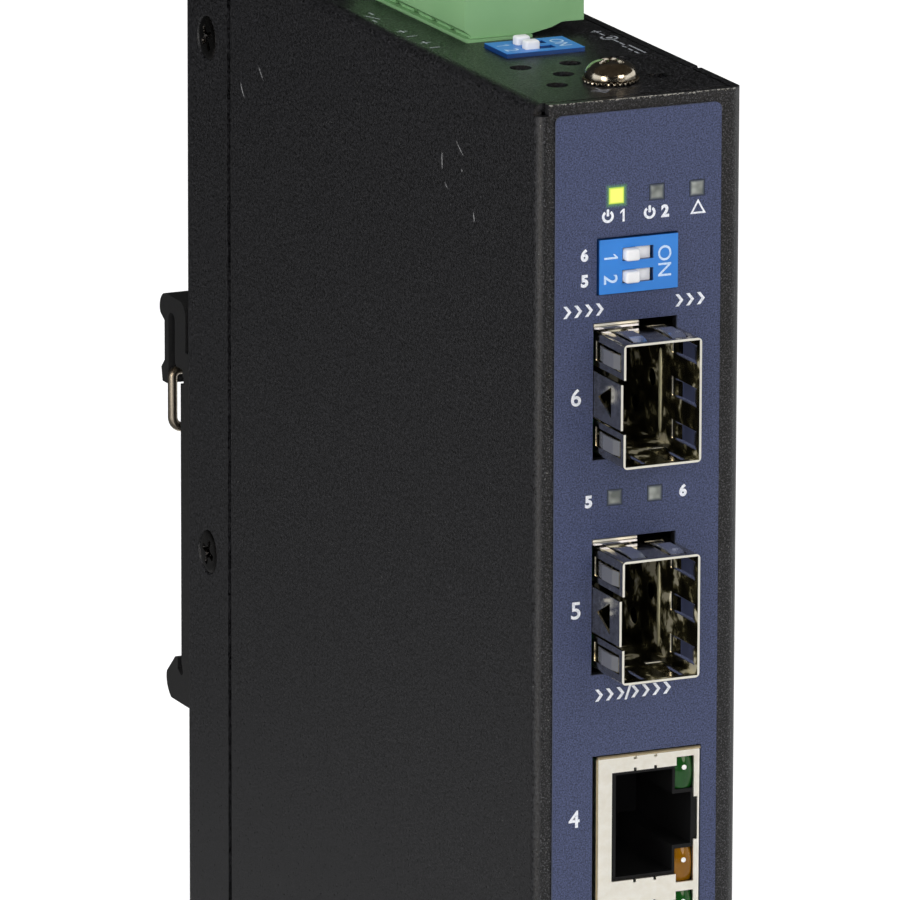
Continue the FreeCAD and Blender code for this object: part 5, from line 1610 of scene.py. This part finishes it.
@dataclass
class Studio:
    """Camera, floor and lights."""

    eye_mm: tuple[float, float, float] = (-542.139, -1202.857, 428.758)
    right: tuple[float, float, float] = (0.9121201, -0.4099132, 0.0028412)
    up: tuple[float, float, float] = (0.0987794, 0.2265157, 0.9689857)
    back: tuple[float, float, float] = (-0.3978436, -0.8835507, 0.2471005)
    lens_mm: float = 472.28
    world_level: float = 0.35
    # Height from which a card glows at its second level, in metres.
    shoulder: float = 0.11
    floor_half: float = 1.5
    floor_lift: float = 0.62
    floor_colour: str = "#ececec"
    # What the lamps and softboxes face.
    middle: tuple[float, float, float] = (0.0, 0.0, 0.09)
    # Lamps: name, place, side in metres, watts.
    lamps: tuple = (("key", (0.45, -0.9, 0.75), 0.5, 2.5), ("front_fill", (-0.5, -1.2, 0.5), 0.5, 5.6),
                    ("left_fill", (-1.0, -0.1, 0.5), 0.7, 4.4), ("overhead", (0.0, 0.1, 1.1), 0.7, 1.4))
    # Cards: name, two opposite corners, glow at the floor, glow at the shoulder, tint.
    cards: tuple = (
        ("rear_card", (-0.6, 0.18, 0.0), (0.6, 0.18, 0.45), 0.13, 0.025, WHITE),
        ("rear_floor_card", (-0.5, -0.05, 0.001), (-0.016, 0.18, 0.001), 0.2, 0.2, WHITE),
        ("overhead_card", (-1.0, -1.3, 0.45), (1.0, 0.18, 0.45), 0.045, 0.045, "#ffead0"),
        ("front_card", (-1.0, -1.3, 0.0), (1.0, -1.3, 0.45), 0.05, 0.02, WHITE),
        ("near_floor_card", (-0.15, -0.33, 0.001), (0.2, -0.052, 0.001), 0.93, 0.93, WHITE),
        ("far_floor_card", (-0.3, -1.3, 0.001), (0.6, -0.33, 0.001), 0.22, 0.22, WHITE),
    )
    # Softboxes: name, place, glow.
    softboxes: tuple = (("right_softbox", (0.3, -0.75, 0.34), 5.0),
                        ("left_softbox", (-0.75, -0.55, 0.2), 6.0))
    softbox_radius: float = 0.18
    softbox_tint: str = "#fff3e2"

    def add_camera(self) -> None:
        """A long lens, level with the upper half of the part."""
        camera = bpy.data.cameras.new("camera")
        camera.sensor_width = 36.0
        camera.lens = self.lens_mm
        camera.clip_end = 20.0
        holder = bpy.data.objects.new("camera", camera)
        turn = Matrix(np.array([self.right, self.up, self.back]).T.tolist()).to_4x4()
        holder.matrix_world = Matrix.Translation(Vector(self.eye_mm) * MM) @ turn
        bpy.context.scene.collection.objects.link(holder)
        bpy.context.scene.camera = holder

    def add_lamp(self, name: str, place: tuple, size: float, power: float) -> None:
        """One soft area lamp, which clear reflections don't show; the softboxes do that.

        Args:
            name: Its name.
            place: Where it stands, in metres.
            size: Width and height in metres.
            power: Watts.
        """
        lamp = bpy.data.lights.new(name, "AREA")
        lamp.shape = "RECTANGLE"
        lamp.size = lamp.size_y = size
        lamp.energy = power
        holder = bpy.data.objects.new(name, lamp)
        aim = Vector(self.middle) - Vector(place)
        turn = aim.to_track_quat("-Z", "Y").to_matrix().to_4x4()
        holder.matrix_world = Matrix.Translation(Vector(place)) @ turn
        holder.visible_glossy = False
        bpy.context.scene.collection.objects.link(holder)

    def add_floor(self) -> None:
        """A pale floor just under the part."""
        size = self.floor_half
        mesh = bpy.data.meshes.new("floor")
        mesh.from_pydata(rectangle((-size, -size, 0.0), (size, size, 0.0)), [], [(0, 1, 2, 3)])
        floor = bpy.data.objects.new("floor", mesh)
        finish = bpy.data.materials.new("pale_floor")
        finish.use_nodes = True
        tree = finish.node_tree
        shader = tree.nodes["Principled BSDF"]
        lifted = add_node(tree, "Math", {0: self.seen_directly(tree), 1: self.floor_lift},
                          operation="MULTIPLY")
        fill(tree, shader,
             {"Base Color": linear(self.floor_colour), "Roughness": 0.8, "Emission Color": linear(WHITE),
              "Emission Strength": lifted})
        mesh.materials.append(finish)
        bpy.context.scene.collection.objects.link(floor)

    def add_card(self, name: str, corners: list, low_level: float, high_level: float,
                 tint: str = WHITE) -> None:
        """A flat card that only clear reflections see: dark to keep black black, or bright for a gleam.

        Its glow goes from the first level to the second between heights of 0 and the part's shoulder.

        Args:
            name: Its name.
            corners: Its corners, in metres.
            low_level: Glow at the floor.
            high_level: Glow at the part's shoulder and above.
            tint: The glow's colour.
        """
        mesh = bpy.data.meshes.new(name)
        mesh.from_pydata(corners, [], [tuple(range(len(corners)))])
        card = bpy.data.objects.new(name, mesh)
        finish = bpy.data.materials.new(name)
        finish.use_nodes = True
        tree = finish.node_tree
        tree.nodes.clear()
        place = add_node(tree, "TexCoord").outputs["Object"]
        height = add_node(tree, "SeparateXYZ", {"Vector": place}).outputs["Z"]
        level = add_node(tree, "MapRange",
                         {"Value": height, "From Min": 0.0, "From Max": self.shoulder,
                          "To Min": low_level, "To Max": high_level})
        glow = add_node(tree, "Emission", {"Color": linear(tint), "Strength": level})
        add_node(tree, "OutputMaterial", {"Surface": glow})
        mesh.materials.append(finish)
        bpy.context.scene.collection.objects.link(card)
        card.visible_camera = card.visible_diffuse = card.visible_shadow = False
        card.visible_transmission = False

    def add_softbox(self, name: str, place: tuple, level: float) -> None:
        """A round bright card that faces the part.

        Args:
            name: Its name.
            place: Its middle, in metres.
            level: Its glow.
        """
        aim = Vector(self.middle) - Vector(place)
        turn = aim.to_track_quat("-Z", "Y").to_matrix()
        radius = self.softbox_radius
        rim = [Vector(place) + turn @ Vector((radius * math.cos(a), radius * math.sin(a), 0))
               for a in full_turn(32)]
        self.add_card(name, [tuple(point) for point in rim], level, level, self.softbox_tint)

    def seen_directly(self, tree: Tree) -> Node:
        """One for camera, glossy and transmission rays, and nothing for the rays that light things.

        Args:
            tree: The tree that asks.

        Returns:
            The node that gives that number.
        """
        path = add_node(tree, "LightPath")
        first = add_node(tree, "Math",
                         {0: path.outputs["Is Camera Ray"], 1: path.outputs["Is Glossy Ray"]},
                         operation="MAXIMUM")
        return add_node(tree, "Math", {0: first, 1: path.outputs["Is Transmission Ray"]},
                        operation="MAXIMUM")

    def add_world(self) -> None:
        """Grey fill for the light, white for what the camera and clear reflections see."""
        world = bpy.data.worlds.new("studio")
        bpy.context.scene.world = world
        world.use_nodes = True
        tree = world.node_tree
        tree.nodes.clear()
        grey = add_node(tree, "Background", {"Color": linear(WHITE), "Strength": self.world_level})
        white = add_node(tree, "Background", {"Color": linear(WHITE), "Strength": 1.0})
        mixed = add_node(tree, "MixShader", {0: self.seen_directly(tree), 1: grey, 2: white})
        add_node(tree, "OutputWorld", {"Surface": mixed})

    def build(self) -> None:
        """Set up everything that isn't the part."""
        self.add_camera()
        self.add_floor()
        self.add_world()
        for name, place, size, power in self.lamps:
            self.add_lamp(name, place, size, power)
        for name, low, high, low_level, high_level, tint in self.cards:
            self.add_card(name, rectangle(low, high), low_level, high_level, tint)
        for name, place, level in self.softboxes:
            self.add_softbox(name, place, level)
        bpy.context.scene.view_settings.view_transform = "Standard"


def main() -> None:
    """Dress the frame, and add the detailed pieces."""
    logging.basicConfig(level=logging.INFO, format="%(name)s: %(message)s")
    Studio().build()
    for finish, nodes in PLAIN_NODES:
        dress(finish, *nodes)
    for part in (Housing(), FrontOverlay(), TopPrint(), IndicatorWindows(), DipSwitch("front", FRONT),
                 DipSwitch("top", TOP), SfpCages(), PortJack(), GroundScrew(), RailClip()):
        LOG.info("building %s", type(part).__name__)
        part.build()


if __name__ == "__main__":
    main()
